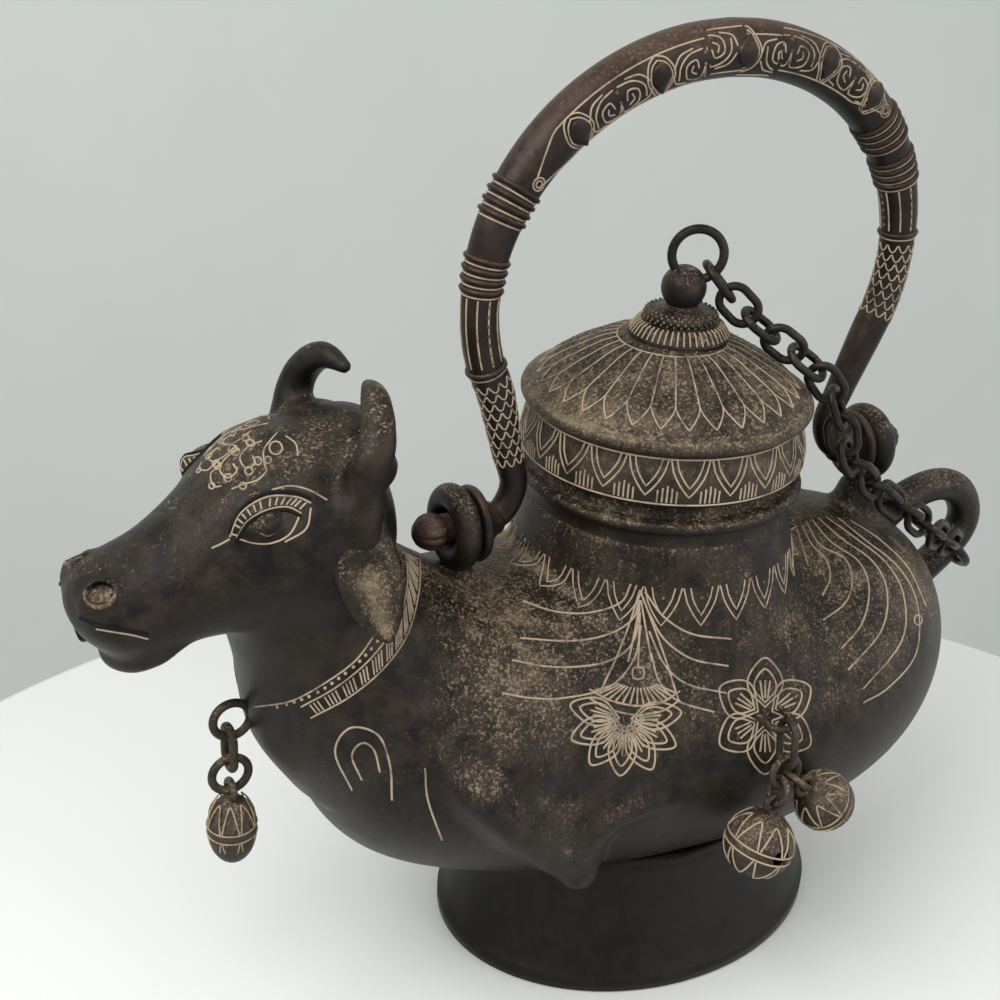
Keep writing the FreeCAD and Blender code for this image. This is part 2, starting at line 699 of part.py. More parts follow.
def breast_group():
    lug_at = Point(breast_lug_x, 0, breast_lug_z)
    body = Part.makeTorus(breast_lug_r, breast_wire_r, lug_at, Y).cut(head_outer).cut(trunk_outer)
    body = min(body.Solids, key=lambda s: s.CenterOfMass.x)
    hook_x = lug_at.x - breast_lug_r * math.cos(breast_hook_turn)
    hook_z = lug_at.z - breast_lug_r * math.sin(breast_hook_turn)
    twin_half = breast_link_length / 2.0 - breast_wire_r
    twin_z = hung(hook_z, breast_wire_r, twin_half, breast_wire_r)
    twin_at = Point(hook_x, 0, twin_z)
    twin = oval_link(twin_at, Z, X, breast_link_length, breast_link_width, breast_wire_r)
    ring_z = hung(twin_z - twin_half, breast_wire_r, breast_ring_r, breast_wire_r)
    round_ring = Part.makeTorus(breast_ring_r, breast_wire_r, Point(hook_x, 0, ring_z), Y)
    eye_z = hung(ring_z - breast_ring_r, breast_wire_r, bell_eye_r, bell_eye_wire_r)
    shell, pellet = bell(Point(hook_x, 0, eye_z), breast_bell_r, breast_bell_height, Z * -1, X)
    return {"breast_lug": body, "breast_link": twin, "breast_ring": round_ring, "breast_bell": shell,
            "breast_pellet": pellet}


def flank_group(side, name):
    """Staple on the flank with a link, a ring and two bells on their own links, clear of the belly."""
    lug_at = Point(flank_lug_x, flank_lug_y, flank_lug_z)
    staple = oval_link(lug_at, Y, Z, flank_lug_length, flank_lug_width, flank_wire_r)
    hook = Point(flank_lug_x, flank_lug_y + flank_lug_length / 2.0 - flank_wire_r, flank_lug_z)
    half = flank_link_length / 2.0 - flank_wire_r
    link_z = hung(hook.z, flank_wire_r, half, flank_wire_r)
    ring_z = hung(link_z - half, flank_wire_r, flank_ring_r, flank_wire_r)
    ring_at = Point(hook.x, hook.y, ring_z)
    pieces = {
        "flank_link_" + name: oval_link(Point(hook.x, hook.y, link_z), Z, X, flank_link_length,
                                        flank_link_width, flank_wire_r),
        "flank_ring_" + name: Part.makeTorus(flank_ring_r, flank_wire_r, ring_at, Y),
    }
    bell_half = bell_link_length / 2.0 - flank_wire_r
    tilted = FreeCAD.Rotation(Y, bell_leans[1])
    for number, lean, radius, hole_way in ((1, bell_leans[0], flank_bell_r, Y),
                                           (2, bell_leans[1], second_bell_r, tilted.multVec(X))):
        turn = math.radians(lean)
        out = Point(math.sin(turn), 0, -math.cos(turn))
        wire_at = ring_at + out * flank_ring_r
        link_at = wire_at + out * (bell_half - 2.0 * flank_wire_r - loose_gap)
        eye = link_at + out * (bell_half + bell_eye_r - flank_wire_r - bell_eye_wire_r - loose_gap)
        shell, pellet = bell(eye, radius, radius * 2.0, hole_way, Y)
        shell.rotate(eye, Y, -lean)
        pellet.rotate(eye, Y, -lean)
        small_link = oval_link(link_at, out, Point(out.z, 0, -out.x), bell_link_length,
                               flank_link_width, flank_wire_r)
        pieces["bell_link_%d_%s" % (number, name)] = small_link
        pieces["bell_%d_%s" % (number, name)] = shell
        pieces["bell_pellet_%d_%s" % (number, name)] = pellet
    for piece in pieces.values():
        piece.rotate(hook, X, flank_lean)
    pieces = {key: mirrored(piece, side) for key, piece in pieces.items()}
    outside = mirrored(staple, side).cut(trunk_outer).Solids
    pieces["flank_lug_" + name] = max(outside, key=lambda s: abs(s.CenterOfMass.y))
    return pieces


nodes = {
    "vessel_body": vessel_body(),
    "head_spout": head_and_neck(),
    "foot_ring": foot_ring(),
    "filler_neck": filler_neck(),
    "lid": lid(),
    "lid_finial": lid_finial(),
    "lid_ring": lid_ring(),
    "horn_left": horn(-1),
    "horn_right": horn(1),
    "ear_left": ear(-1),
    "ear_right": ear(1),
    "tail_loop": tail_loop(),
    "tail_ring": tail_ring(),
    "lug_front": lug(-1),
    "lug_rear": lug(1),
    "bail_handle": bail_handle(),
    "bail_bud_front": bail_bud(-1),
    "bail_bud_rear": bail_bud(1),
}
for number, link in enumerate(chain_links(), 1):
    nodes["chain_link_%02d" % number] = link
nodes.update(breast_group())
nodes.update(flank_group(-1, "left"))
nodes.update(flank_group(1, "right"))

middle_x = (muzzle_tip_x + max(point.x for point in tail_points) + tail_wire_r) / 2.0
print("middle of the length", round(middle_x, 3), "chain start", chain_start)
print("chain end", tail_ring_top, "lid ring", ring_centre)
os.makedirs("parts", exist_ok=True)
for name, shape in nodes.items():
    shape.translate(X * -middle_x)
    shape.exportStep("parts/" + name + ".step")
    print(name, len(shape.Solids), "solid", round(shape.Volume / 1000.0, 2), "cm3", shape.isValid())
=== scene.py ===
# %% [markdown]
# A kamandalu in the shape of a lying cow: a cast bronze water vessel with a lid, a bail
# handle, a chain and bells. The solids are loaded first as a fixed frame. Everything below
# either gives a solid its finish, or stands for a solid with a finer form.

# %% Load the frame
import bpy
import bmesh
import json
import math
import numpy as np
from mathutils import Matrix, Vector
from mathutils.bvhtree import BVHTree


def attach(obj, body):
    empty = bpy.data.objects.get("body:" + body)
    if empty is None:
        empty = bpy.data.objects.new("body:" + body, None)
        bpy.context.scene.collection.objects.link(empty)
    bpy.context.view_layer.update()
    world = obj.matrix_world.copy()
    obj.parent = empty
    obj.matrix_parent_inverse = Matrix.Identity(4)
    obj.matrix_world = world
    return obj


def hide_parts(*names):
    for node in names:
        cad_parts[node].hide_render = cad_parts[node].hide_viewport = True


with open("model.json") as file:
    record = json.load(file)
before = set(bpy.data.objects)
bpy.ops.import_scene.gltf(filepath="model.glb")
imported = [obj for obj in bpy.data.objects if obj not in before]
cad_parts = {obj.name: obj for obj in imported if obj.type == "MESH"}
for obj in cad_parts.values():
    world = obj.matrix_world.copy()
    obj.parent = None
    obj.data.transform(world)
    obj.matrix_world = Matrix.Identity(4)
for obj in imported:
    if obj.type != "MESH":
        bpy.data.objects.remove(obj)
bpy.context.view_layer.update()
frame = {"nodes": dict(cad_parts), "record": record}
nodes = frame["nodes"]

# %% [markdown]
# The sizes of a casting are easier to read in millimetres, counted from the centre of the
# foot. One helper turns such a place into the frame's metres.

# %% Places in millimetres
foot_to_middle = 20.224
lid_x = -2.8


def array_of(vectors):
    """Array of the vectors in a list, without its gaps."""
    return np.array([tuple(v) for v in vectors if v is not None]).reshape(-1, 3)


def place(x, y, z):
    return Vector(((x + foot_to_middle) / 1000.0, y / 1000.0, z / 1000.0))


def places(points):
    """The same for an array of points."""
    return (np.asarray(points, float) + [foot_to_middle, 0.0, 0.0]) / 1000.0


# %% [markdown]
# Camera first: its angle is the photograph's, so every later piece can be judged against it.
# It looks down by about 26 degrees, from the cow's left front, with a small tilt of the frame.

# %% Camera
azimuth, elevation, tilt = math.radians(-30.57), math.radians(26.45), math.radians(3.25)
aim = (-53.77, 0.0, 147.02)
distance_mm = 402.76
back = Vector((math.sin(azimuth) * math.cos(elevation),
               -math.cos(azimuth) * math.cos(elevation), math.sin(elevation)))
level = Vector((math.cos(azimuth), math.sin(azimuth), 0.0))
upward = back.cross(level)
camera_right = level * math.cos(tilt) + upward * math.sin(tilt)
camera_up = upward * math.cos(tilt) - level * math.sin(tilt)
camera_data = bpy.data.cameras.new("camera")
camera_data.sensor_width = 36.0
camera_data.lens = 54.58
camera_data.clip_start = 0.01
camera = bpy.data.objects.new("camera", camera_data)
bpy.context.scene.collection.objects.link(camera)
turned = Matrix((camera_right, camera_up, back)).transposed().to_4x4()
camera.matrix_world = Matrix.Translation(place(*aim) + back * (distance_mm / 1000.0)) @ turned
bpy.context.scene.camera = camera
print("camera at", [round(v, 3) for v in camera.location])

# %% [markdown]
# A pattern that the photograph shows can be drawn as places in its 1000 by 1000 picture and
# then dropped on the form along the line of sight, so it lies on what carries it.


# %% Line of sight
def sight(px, py):
    """Direction from the camera through a place in the picture."""
    across = (px - 500.0) / 1000.0 * camera_data.sensor_width / camera_data.lens
    down = (py - 500.0) / 1000.0 * camera_data.sensor_width / camera_data.lens
    return (camera_right * across - camera_up * down - back).normalized()


# %% [markdown]
# Finishes. A socket wrapper lets shader maths read as a plain formula, and one method adds
# any other node. Old bronze is a dark brown metal under a thin brown skin, with pale dust
# lying in hollows and on what faces up, so every finish here is one recipe with other shares.
# On faces turned sideways or down the brown skin gives way to the dark metal: painted shade.


# %% Shader helpers
class Value:
    """A socket that can be added, subtracted and multiplied; each sign adds a Math node."""

    def __init__(self, finish, socket):
        self.finish, self.socket = finish, socket

    def _sum(self, operation, first, second):
        return self.finish.node("ShaderNodeMath", {"operation": operation}, {0: first, 1: second})

    def __add__(self, other):
        return self._sum("ADD", self, other)

    def __radd__(self, other):
        return self._sum("ADD", other, self)

    def __sub__(self, other):
        return self._sum("SUBTRACT", self, other)

    def __rsub__(self, other):
        return self._sum("SUBTRACT", other, self)

    def __mul__(self, other):
        return self._sum("MULTIPLY", self, other)

    def __rmul__(self, other):
        return self._sum("MULTIPLY", other, self)


class Finish:
    """A material in the making."""

    def __init__(self, name):
        self.material = bpy.data.materials.new(name)
        self.material.use_nodes = True
        self.tree = self.material.node_tree
        self.tree.nodes.clear()

    def node(self, kind, settings=None, inputs=None, output=0):
        made = self.tree.nodes.new(kind)
        for key, value in (settings or {}).items():
            if key == "stops":
                ramp = made.color_ramp
                while len(ramp.elements) < len(value):
                    ramp.elements.new(0.5)
                for element, (at, colour) in zip(ramp.elements, value):
                    element.position, element.color = at, colour
            else:
                setattr(made, key, value)
        for key, value in (inputs or {}).items():
            socket = made.inputs[key]
            if isinstance(value, Value):
                self.tree.links.new(value.socket, socket)
            else:
                socket.default_value = value
        return Value(self, made.outputs[output])

    def mixed(self, share, first, second):
        """Colour between two colours."""
        return self.node("ShaderNodeMix", {"data_type": "RGBA"}, {0: share, 6: first, 7: second}, 2)

    def noise(self, at, scale, detail=5.0, rough=0.7):
        return self.node("ShaderNodeTexNoise", {},
                         {"Vector": at, "Scale": scale, "Detail": detail, "Roughness": rough})

    def band(self, value, low, high):
        """0 below low, 1 above high, smooth between."""
        return self.node("ShaderNodeMapRange", {"interpolation_type": "SMOOTHSTEP"},
                         {"Value": value, "From Min": low, "From Max": high})

    def surface(self, inputs, front_only=False):
        """The finished material; front_only leaves it clear from behind."""
        shader = self.node("ShaderNodeBsdfPrincipled", {}, inputs)
        if front_only:
            behind = self.node("ShaderNodeNewGeometry", {}, {}, "Backfacing")
            clear = self.node("ShaderNodeBsdfTransparent")
            shader = self.node("ShaderNodeMixShader", {}, {0: behind, 1: shader, 2: clear})
        out = self.tree.nodes.new("ShaderNodeOutputMaterial")
        self.tree.links.new(shader.socket, out.inputs["Surface"])
        return self.material


# %% Bronze
def colour(r, g, b):
    return (r, g, b, 1.0)


def bronze(name, dark, brown, dust, dusty=0.5, rough=0.42, bump=0.25, worn=None, grain=1.0):
    """Patinated bronze: two browns in patches, fine flecks and streaks of dust, a cast skin, and painted
    shade that turns the brown to the dark metal on faces turned sideways or down.
    """
    f = Finish(name)
    at = f.node("ShaderNodeTexCoord", {}, {}, 3)
    normal = f.node("ShaderNodeNewGeometry", {}, {}, 1)
    facing_up = f.node("ShaderNodeSeparateXYZ", {}, {0: normal}, 2)
    drawn_out = f.node("ShaderNodeMapping", {}, {"Vector": at, "Scale": (1.0, 1.0, 0.28)})
    patch = f.noise(at, 34.0, 6.0, 0.65)
    cloud = f.noise(at, 150.0)
    streak = f.noise(drawn_out, 210.0, 5.0, 0.75)
    skin = f.noise(at, 1150.0 * grain, 5.0, 0.8)
    pit = f.node("ShaderNodeTexVoronoi", {}, {"Vector": at, "Scale": 800.0 * grain})
    hollow = f.node("ShaderNodeAttribute", {"attribute_name": "hollow"}, {}, 2)
    fleck = f.band(skin, 0.50, 0.62)
    thrown = f.band(patch * 0.55 + streak * 0.6, 0.50, 0.74)
    lying = f.band(facing_up, 0.0, 0.9)
    flecks = thrown * 0.22 + fleck * (0.30 + 0.50 * thrown)
    dust_share = f.band(hollow * (0.20 + cloud * fleck + cloud * 0.5)
                        + (0.30 + 1.1 * lying) * flecks * dusty, 0.06, 0.85)
    # Painted light and shade: the brown skin shows fully on faces turned up and fades to the dark metal on
    # faces turned sideways or down.
    painted_light_and_shade = 0.15 + 0.85 * f.band(facing_up, -0.45, 0.45)
    base = f.mixed(f.band(cloud * 0.6 + patch * 0.5, 0.42, 0.68) * painted_light_and_shade, dark, brown)
    if worn:
        rub = f.band(facing_up * 0.5 + cloud * 0.6, 0.40, 0.85)
        base = f.mixed(rub * 0.85, base, worn)
    base = f.mixed(f.band(pit, 0.0, 0.16) * 0.5 + 0.5, dark, base)
    base = f.mixed(dust_share, base, dust)
    roughness = rough + 0.32 * dust_share + 0.20 * (cloud - 0.5)
    metal = 0.22 - 0.2 * dust_share
    height = skin * 0.5 + cloud * 0.4
    lumps = f.node("ShaderNodeBump", {}, {"Strength": bump, "Distance": 0.0006, "Height": height})
    return f.surface({"Base Color": base, "Roughness": roughness, "Metallic": metal, "Normal": lumps,
                      "Specular IOR Level": 0.2})


dark_brown = colour(0.0072, 0.0056, 0.0042)
warm_brown = colour(0.040, 0.0295, 0.0205)
dust_tan = colour(0.240, 0.180, 0.115)
body_bronze = bronze("body_bronze", dark_brown, warm_brown, dust_tan, dusty=1.25, rough=0.40, bump=0.5)
lid_bronze = bronze("lid_bronze", colour(0.014, 0.0105, 0.0075), colour(0.066, 0.049, 0.033), dust_tan,
                    dusty=1.15, rough=0.42, bump=0.4)
foot_bronze = bronze("foot_bronze", colour(0.0065, 0.0055, 0.0045), colour(0.013, 0.0108, 0.0085), dust_tan,
                     dusty=0.22, rough=0.38, bump=0.2)
handle_bronze = bronze("handle_bronze", colour(0.011, 0.008, 0.006), colour(0.036, 0.024, 0.018), dust_tan,
                       dusty=0.5,
                       rough=0.38, worn=colour(0.078, 0.043, 0.030))
chain_bronze = bronze("chain_bronze", colour(0.011, 0.009, 0.007), colour(0.040, 0.031, 0.023), dust_tan,
                      dusty=0.6, rough=0.36)
bell_bronze = bronze("bell_bronze", colour(0.018, 0.0135, 0.0095), colour(0.070, 0.052, 0.036), dust_tan,
                     dusty=1.3, rough=0.48, bump=0.5)
bud_bronze = bronze("bud_bronze", colour(0.030, 0.019, 0.015), colour(0.105, 0.062, 0.047), dust_tan,
                    dusty=0.8, rough=0.42)
# Near-black bronze with almost no dust: painted shade for the spout's opening and for the creases of the
# mouth and eyelids.
painted_shade_bronze = bronze("painted_shade_bronze", colour(0.004, 0.0032, 0.0025), colour(0.008, 0.0065, 0.005), dust_tan,
                     dusty=0.05, rough=0.6)


def dust_line(name, tan, brown, low=0.50, high=0.85):
    """The dust that fills an engraved line, broken where the line has been rubbed clean."""
    f = Finish(name)
    at = f.node("ShaderNodeTexCoord", {}, {}, 3)
    cloud = f.noise(at, 300.0)
    broad = f.noise(at, 46.0, 3.0, 0.5)
    share = f.band(cloud * 0.7 + broad * 0.6, low, high)
    base = f.mixed(share, brown, tan)
    grains = f.node("ShaderNodeBump", {}, {"Strength": 0.3, "Distance": 0.0003, "Height": cloud})
    return f.surface({"Base Color": base, "Roughness": 0.72 + 0.1 * cloud, "Normal": grains})


line_dust = dust_line("line_dust", colour(0.40, 0.31, 0.21), colour(0.075, 0.056, 0.040), 0.42, 0.74)
soft_dust = dust_line("soft_dust", colour(0.17, 0.125, 0.083), colour(0.034, 0.026, 0.019))

# %% [markdown]
# Mesh helpers. Numbers make the points, from_pydata makes the mesh, and every finished piece
# keeps its object at the origin, so patterns on Object coordinates stay where they are.


# %% Mesh helpers
def piece(name, verts, faces, material, smooth=True):
    """New object from points in metres."""
    mesh = bpy.data.meshes.new(name)
    mesh.from_pydata([tuple(v) for v in verts], [], [tuple(f) for f in faces])
    mesh.validate()
    mesh.polygons.foreach_set("use_smooth", [smooth] * len(mesh.polygons))
    mesh.materials.append(material)
    made = bpy.data.objects.new(name, mesh)
    bpy.context.scene.collection.objects.link(made)
    return made


def belongs(made, body, slot, *replaced):
    """Says which body the piece rides on and which solids it stands for; slot is not used."""
    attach(made, body)
    if replaced:
        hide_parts(*replaced)


def settle(made):
    """Merges doubles and turns all faces outwards."""
    shape = bmesh.new()
    shape.from_mesh(made.data)
    bmesh.ops.remove_doubles(shape, verts=shape.verts, dist=1e-6)
    bmesh.ops.recalc_face_normals(shape, faces=shape.faces)
    shape.to_mesh(made.data)
    shape.free()
    return made


def evaluated(made):
    """The piece with its modifiers applied, as a new plain mesh."""
    mesh = bpy.data.meshes.new_from_object(made.evaluated_get(bpy.context.evaluated_depsgraph_get()))
    made.modifiers.clear()
    made.data = mesh
    return made


# %% Rings of points
def rings(sections, close=True):
    """Quads between rings of equal counts, with fans at both ends where close is set."""
    verts = np.concatenate([np.asarray(s, float) for s in sections])
    count = len(sections[0])
    faces = []
    for i in range(len(sections) - 1):
        for j in range(count):
            k = (j + 1) % count
            faces.append((i * count + j, i * count + k, (i + 1) * count + k, (i + 1) * count + j))
    if close:
        first, last = verts[:count].mean(0), verts[-count:].mean(0)
        verts = np.vstack([verts, first, last])
        top = len(verts)
        for j in range(count):
            k = (j + 1) % count
            faces.append((k, j, top - 2))
            faces.append(((len(sections) - 1) * count + j, (len(sections) - 1) * count + k, top - 1))
    return verts, faces


def softly(rows, steps):
    """Rows of numbers with smooth ones between them (Catmull-Rom)."""
    rows = np.asarray(rows, float)
    padded = np.vstack([2 * rows[0] - rows[1], rows, 2 * rows[-1] - rows[-2]])
    out = []
    for i in range(1, len(padded) - 2):
        p0, p1, p2, p3 = padded[i - 1:i + 3]
        for t in np.linspace(0, 1, steps, endpoint=False):
            bend, twist = 2 * p0 - 5 * p1 + 4 * p2 - p3, 3 * p1 - p0 - 3 * p2 + p3
            out.append(0.5 * (2 * p1 + (p2 - p0) * t + bend * t ** 2 + twist * t ** 3))
    out.append(padded[-2])
    return np.array(out)


def round_turn(count):
    turn = np.linspace(0, 2 * math.pi, count, endpoint=False)
    return np.cos(turn), np.sin(turn)


# %% Rods and blobs
def rod(points, radii, sides=16, reference=(0, 1, 0), steps=4, flat=1.0):
    """Round bar along a smooth path, all in millimetres; flat squeezes it across the reference."""
    rows = softly(np.column_stack([points, radii]), steps)
    path, thick = rows[:, :3], rows[:, 3]
    ways = np.gradient(path, axis=0)
    ways /= np.linalg.norm(ways, axis=1)[:, None]
    cos, sin = round_turn(sides)
    sections = []
    for centre, way, radius in zip(path, ways, thick):
        first = np.cross(way, reference)
        first /= np.linalg.norm(first)
        second = np.cross(way, first)
        sections.append(centre + radius * (cos[:, None] * first + flat * sin[:, None] * second))
    return rings(sections)


def blob(centre, radii, turn=(0.0, 0.0, 0.0), count=20):
    """Closed egg, in millimetres, turned about X, Y and Z in degrees."""
    cos, sin = round_turn(count)
    matrix = np.array(Matrix.Rotation(math.radians(turn[2]), 3,
                                      "Z") @ Matrix.Rotation(math.radians(turn[1]), 3, "Y")
                      @ Matrix.Rotation(math.radians(turn[0]), 3, "X"))
    sections = []
    for lift in np.linspace(-0.98, 0.98, 13):
        r = math.sqrt(1 - lift * lift)
        ring = np.column_stack([cos * r * radii[0], sin * r * radii[1], np.full(count, lift * radii[2])])
        sections.append(ring @ matrix.T + centre)
    return rings(sections)


# %% Turned and mirrored forms
def lathe(outline, axis_x=0.0, count=96):
    """Closed form turned about an upright axis, from an outline of (radius, height) in millimetres."""
    cos, sin = round_turn(count)
    sections = [np.column_stack([axis_x + cos * r, sin * r, np.full(count, z)]) for r, z in outline]
    verts, faces = rings(sections, close=False)
    first, last = 0, (len(outline) - 1) * count
    for j in range(count):
        k = (j + 1) % count
        faces.append((last + j, last + k, first + k, first + j))
    return verts, faces


def merged(forms):
    """Several closed forms as one list of points and faces."""
    verts, faces, start = [], [], 0
    for v, f in forms:
        verts.append(np.asarray(v, float))
        faces += [tuple(i + start for i in face) for face in f]
        start += len(v)
    return np.concatenate(verts), faces


def both_sides(form):
    """The form and its mirror image across the cow's middle plane."""
    v, f = form
    other = np.array(v) * [1, -1, 1]
    return merged([(v, f), (other, [tuple(reversed(face)) for face in f])])


# %% [markdown]
# The cow is one casting, so its skin is one smooth surface. Trunk, neck, head and the relief
# on them are drawn as simple closed forms that overlap. A voxel remesh makes one surface of
# them, and evening the points out rounds the joins as a wax model's are rounded.

# %% The cow's main forms
trunk_front, trunk_long, trunk_wide, trunk_high, trunk_mid = -116.0, 219.5, 53.5, 51.5, 75.5
trunk_rows = [(0.0, 0.42, 0.02, 0.02), (0.014, 0.40, 0.30, 0.34), (0.050, 0.34, 0.60, 0.62),
              (0.120, 0.25, 0.76, 0.78),
              (0.237, 0.14, 0.885, 0.87), (0.364, 0.06, 0.945, 0.93), (0.492, 0.02, 0.985, 0.97),
              (0.619, 0.01, 1.0, 0.98),
              (0.746, 0.03, 0.965, 0.95), (0.852, 0.05, 0.83, 0.84), (0.936, 0.07, 0.60, 0.64),
              (0.982, 0.07, 0.33, 0.37),
              (1.0, 0.07, 0.02, 0.02)]


def trunk_form():
    cos, sin = round_turn(64)
    sections = []
    for along, rise, wide, high in softly(trunk_rows, 5):
        x = trunk_front + trunk_long * along
        z = trunk_mid + trunk_high * rise
        across_it, up_it = cos * trunk_wide * max(wide, 0.01), sin * trunk_high * max(high, 0.01)
        sections.append(np.column_stack([np.full(64, x), across_it, z + up_it]))
    return rings(sections)


neck_lean = math.radians(58.0)
neck_foot, neck_long, neck_deep, neck_wide = np.array([-84.5, 0, 92.0]), 72.0, 36.5, 37.0
neck_way = np.array([-math.cos(neck_lean), 0, math.sin(neck_lean)])
neck_back = np.array([math.sin(neck_lean), 0, math.cos(neck_lean)])
neck_rows = [(0.0, 0.94, 1.0), (0.30, 0.92, 0.88), (0.58, 0.68, 0.73), (0.84, 0.52, 0.62)]


def neck_form():
    cos, sin = round_turn(48)
    sections = []
    for along, deep, wide in softly(neck_rows, 4):
        centre = neck_foot + neck_way * neck_long * along
        forth, aside = cos * neck_deep * deep, sin * neck_wide * wide
        sections.append(centre + forth[:, None] * neck_back + aside[:, None] * np.array([0, 1.0, 0]))
    return rings(sections)


head_back, head_long, head_wide, head_high, head_mid = -90.0, 80.0, 28.0, 25.0, 152.0
head_rows = [(0.0, 0.0, 0.45, 0.50), (0.05, 0.0, 0.68, 0.76), (0.15, 0.06, 0.91, 0.98),
             (0.2625, 0.08, 1.0, 1.02),
             (0.375, 0.06, 0.98, 0.99), (0.50, -0.04, 0.82, 0.88), (0.625, -0.22, 0.64, 0.72),
             (0.75, -0.40, 0.55, 0.62),
             (0.85, -0.46, 0.535, 0.54), (0.92, -0.43, 0.47, 0.40), (0.965, -0.40, 0.35, 0.28),
             (0.988, -0.38, 0.17, 0.13),
             (0.994, -0.38, 0.03, 0.03)]


def head_form():
    cos, sin = round_turn(48)
    sections = []
    for along, rise, wide, high in softly(head_rows, 4):
        x = head_back - head_long * along
        z = head_mid + head_high * rise
        sections.append(np.column_stack([np.full(48, x), cos * head_wide * wide, z
                                         + sin * head_high * high]))
    return rings(sections)


neck_flare = [(36.4, 142.5), (37.0, 141.0), (38.4, 134.5), (41.9, 119.3), (46.0, 106.0), (46.0, 92.0),
              (20.0, 92.0), (20.0, 142.5)]

# %% [markdown]
# Relief on the skin: eye sockets and brow ridges, the poll between the horns, the muzzle and
# the lower lip, the cheeks, the shoulder, the folded foreleg, and the mounds that carry the lugs.
# Forms are given in millimetres: blobs by centre, half sizes and turn, rods by points and radii.

# %% The cow's relief
def on_head(x, degrees):
    """Place on the near side of the head's surface, at an angle above its middle line."""
    rows = np.array(head_rows)
    rise, wide, high = (np.interp((head_back - x) / head_long, rows[:, 0], rows[:, k]) for k in (1, 2, 3))
    angle = math.radians(degrees)
    return (x, -math.cos(angle) * head_wide * wide, head_mid + head_high * (rise + math.sin(angle) * high))


relief = [
    both_sides(blob((-126.5, -18.9, 162.6), (8.5, 3.0, 4.6), (32, 8, 10))),
    both_sides(rod([on_head(-140, 30), on_head(-134, 43), on_head(-127, 49), on_head(-119, 48),
                    on_head(-112, 40)], [0.4, 0.9, 1.2, 1.1, 0.4], 12)),
    both_sides(blob((-101, -13, 171), (10, 9, 7))),
    blob((-99, 0, 173.5), (11, 14, 7.5)),
    both_sides(blob((-162.0, -8.0, 145.2), (6.6, 5.0, 6.4))),
    blob((-163.0, 0, 144.5), (6.4, 8.0, 6.6)),
    rod([(-143, -11.0, 132.5), (-150, -9.8, 129.6), (-156.0, -6.6, 127.8), (-158.8, 0, 127.2),
         (-156.0, 6.6, 127.8), (-150, 9.8, 129.6), (-143, 11.0, 132.5)],
        [0.8, 2.6, 3.5, 3.9, 3.5, 2.6, 0.8], 14, (0, 0, 1)),
    both_sides(blob((-108, -21.5, 147), (15, 7, 13))),
    both_sides(rod([(-90.4, -34.0, 101.5), (-82.5, -40.5, 90.8), (-72.2, -43.0, 77.9), (-60.1, -42.0, 63.7),
                    (-50.5, -41.0, 53.3)],
                   [4.5, 6.4, 6.0, 5.2, 4.4], 18)),
    both_sides(rod([(-11.5, -46.0, 71.4), (-27.3, -46.5, 74.6), (-40.4, -45.5, 73.6), (-45.9, -44.0, 67.6),
                    (-46.2, -42.5, 59.8), (-43.1, -41.0, 50.7)],
                   [3.5, 6.2, 6.6, 6.2, 5.4, 3.6], 18)),
    both_sides(blob((-46.5, -40.5, 49.0), (6.6, 5.2, 4.6), (0, 20, 0))),
    rod([(-67.3, 0, 105), (-67.3, 0, 119), (-67.3, 0, 131)], [13, 9.0, 5.0], 20),
    rod([(74.3, 0, 108), (74.3, 0, 120), (74.3, 0, 130)], [11, 8.0, 5.0], 20),
]

# %% Horns and ears
horn_rows = [((-106.0, 19.0, 162.5), 6.3), ((-103.2, 23.3, 174.0), 5.2), ((-100.6, 22.8, 182.5), 4.5),
             ((-98.0, 15.4, 189.0), 3.7),
             ((-95.4, 5.0, 188.6), 1.7)]
relief.append(both_sides(rod([(-104, -19.5, 171), (-105.5, -23.5, 163.5), (-104.8, -26.5, 155)],
                             [5.2, 6.2, 3.0], 16)))
horns = both_sides(rod([p for p, r in horn_rows], [r for p, r in horn_rows], 18, (1, 0, 0)))


ear_long, ear_wide, ear_thick, cup_deep, ear_bow = 32.0, 7.5, 2.9, 2.7, 1.6


def ear_form():
    """Hanging leaf, broad from its root, with a cup in the lower half of its outer face."""
    along = np.array([0.17, 0.40, -0.90])
    along /= np.linalg.norm(along)
    thick = np.array([-0.10, 0.89, 0.43])
    thick -= along * (thick @ along)
    thick /= np.linalg.norm(thick)
    wide = np.cross(along, thick)
    root = np.array([-107.8, 21.6, 163.6])
    rows = [(-0.14, 0.20, 0.5), (-0.06, 0.66, 0.9), (0.08, 0.98, 1.0), (0.30, 1.10, 1.0),
            (0.56, 1.04, 0.95), (0.78, 0.78, 0.85),
            (0.92, 0.44, 0.7), (1.0, 0.12, 0.35)]
    cos, sin = round_turn(56)
    sections, cups = [], []
    for share, broad, deep in softly(rows, 6):
        reach = min(1.0, max(0.0, (share - 0.30) / 0.16)) * min(1.0, max(0.0, (0.99 - share) / 0.12))
        cup = np.clip(1 - (cos / 0.56) ** 2, 0, 1) ** 0.8 * (sin > 0) * reach
        height = sin * ear_thick * deep - cup * cup_deep + ear_bow * math.sin(max(share, 0) * math.pi)
        offset = (cos * ear_wide * broad)[:, None] * wide + height[:, None] * thick
        sections.append(root + along * ear_long * share + offset)
        cups.append(cup)
    return rings(sections), np.concatenate(cups + [[0.0, 0.0]])


# %% Skin of the cow
forms = merged([trunk_form(), neck_form(), head_form(), lathe(neck_flare, lid_x, 72)] + relief + [horns])
skin = piece("cow_skin", places(forms[0]), forms[1], body_bronze)
remesh = skin.modifiers.new("remesh", "REMESH")
skin_voxel = 0.00105
remesh.mode, remesh.voxel_size, remesh.adaptivity = "VOXEL", skin_voxel, 0.0
skin = evaluated(skin)


def mesh_arrays(mesh):
    points = np.empty(len(mesh.vertices) * 3)
    mesh.vertices.foreach_get("co", points)
    edges = np.empty(len(mesh.edges) * 2, int)
    mesh.edges.foreach_get("vertices", edges)
    return points.reshape(-1, 3), edges.reshape(-1, 2)


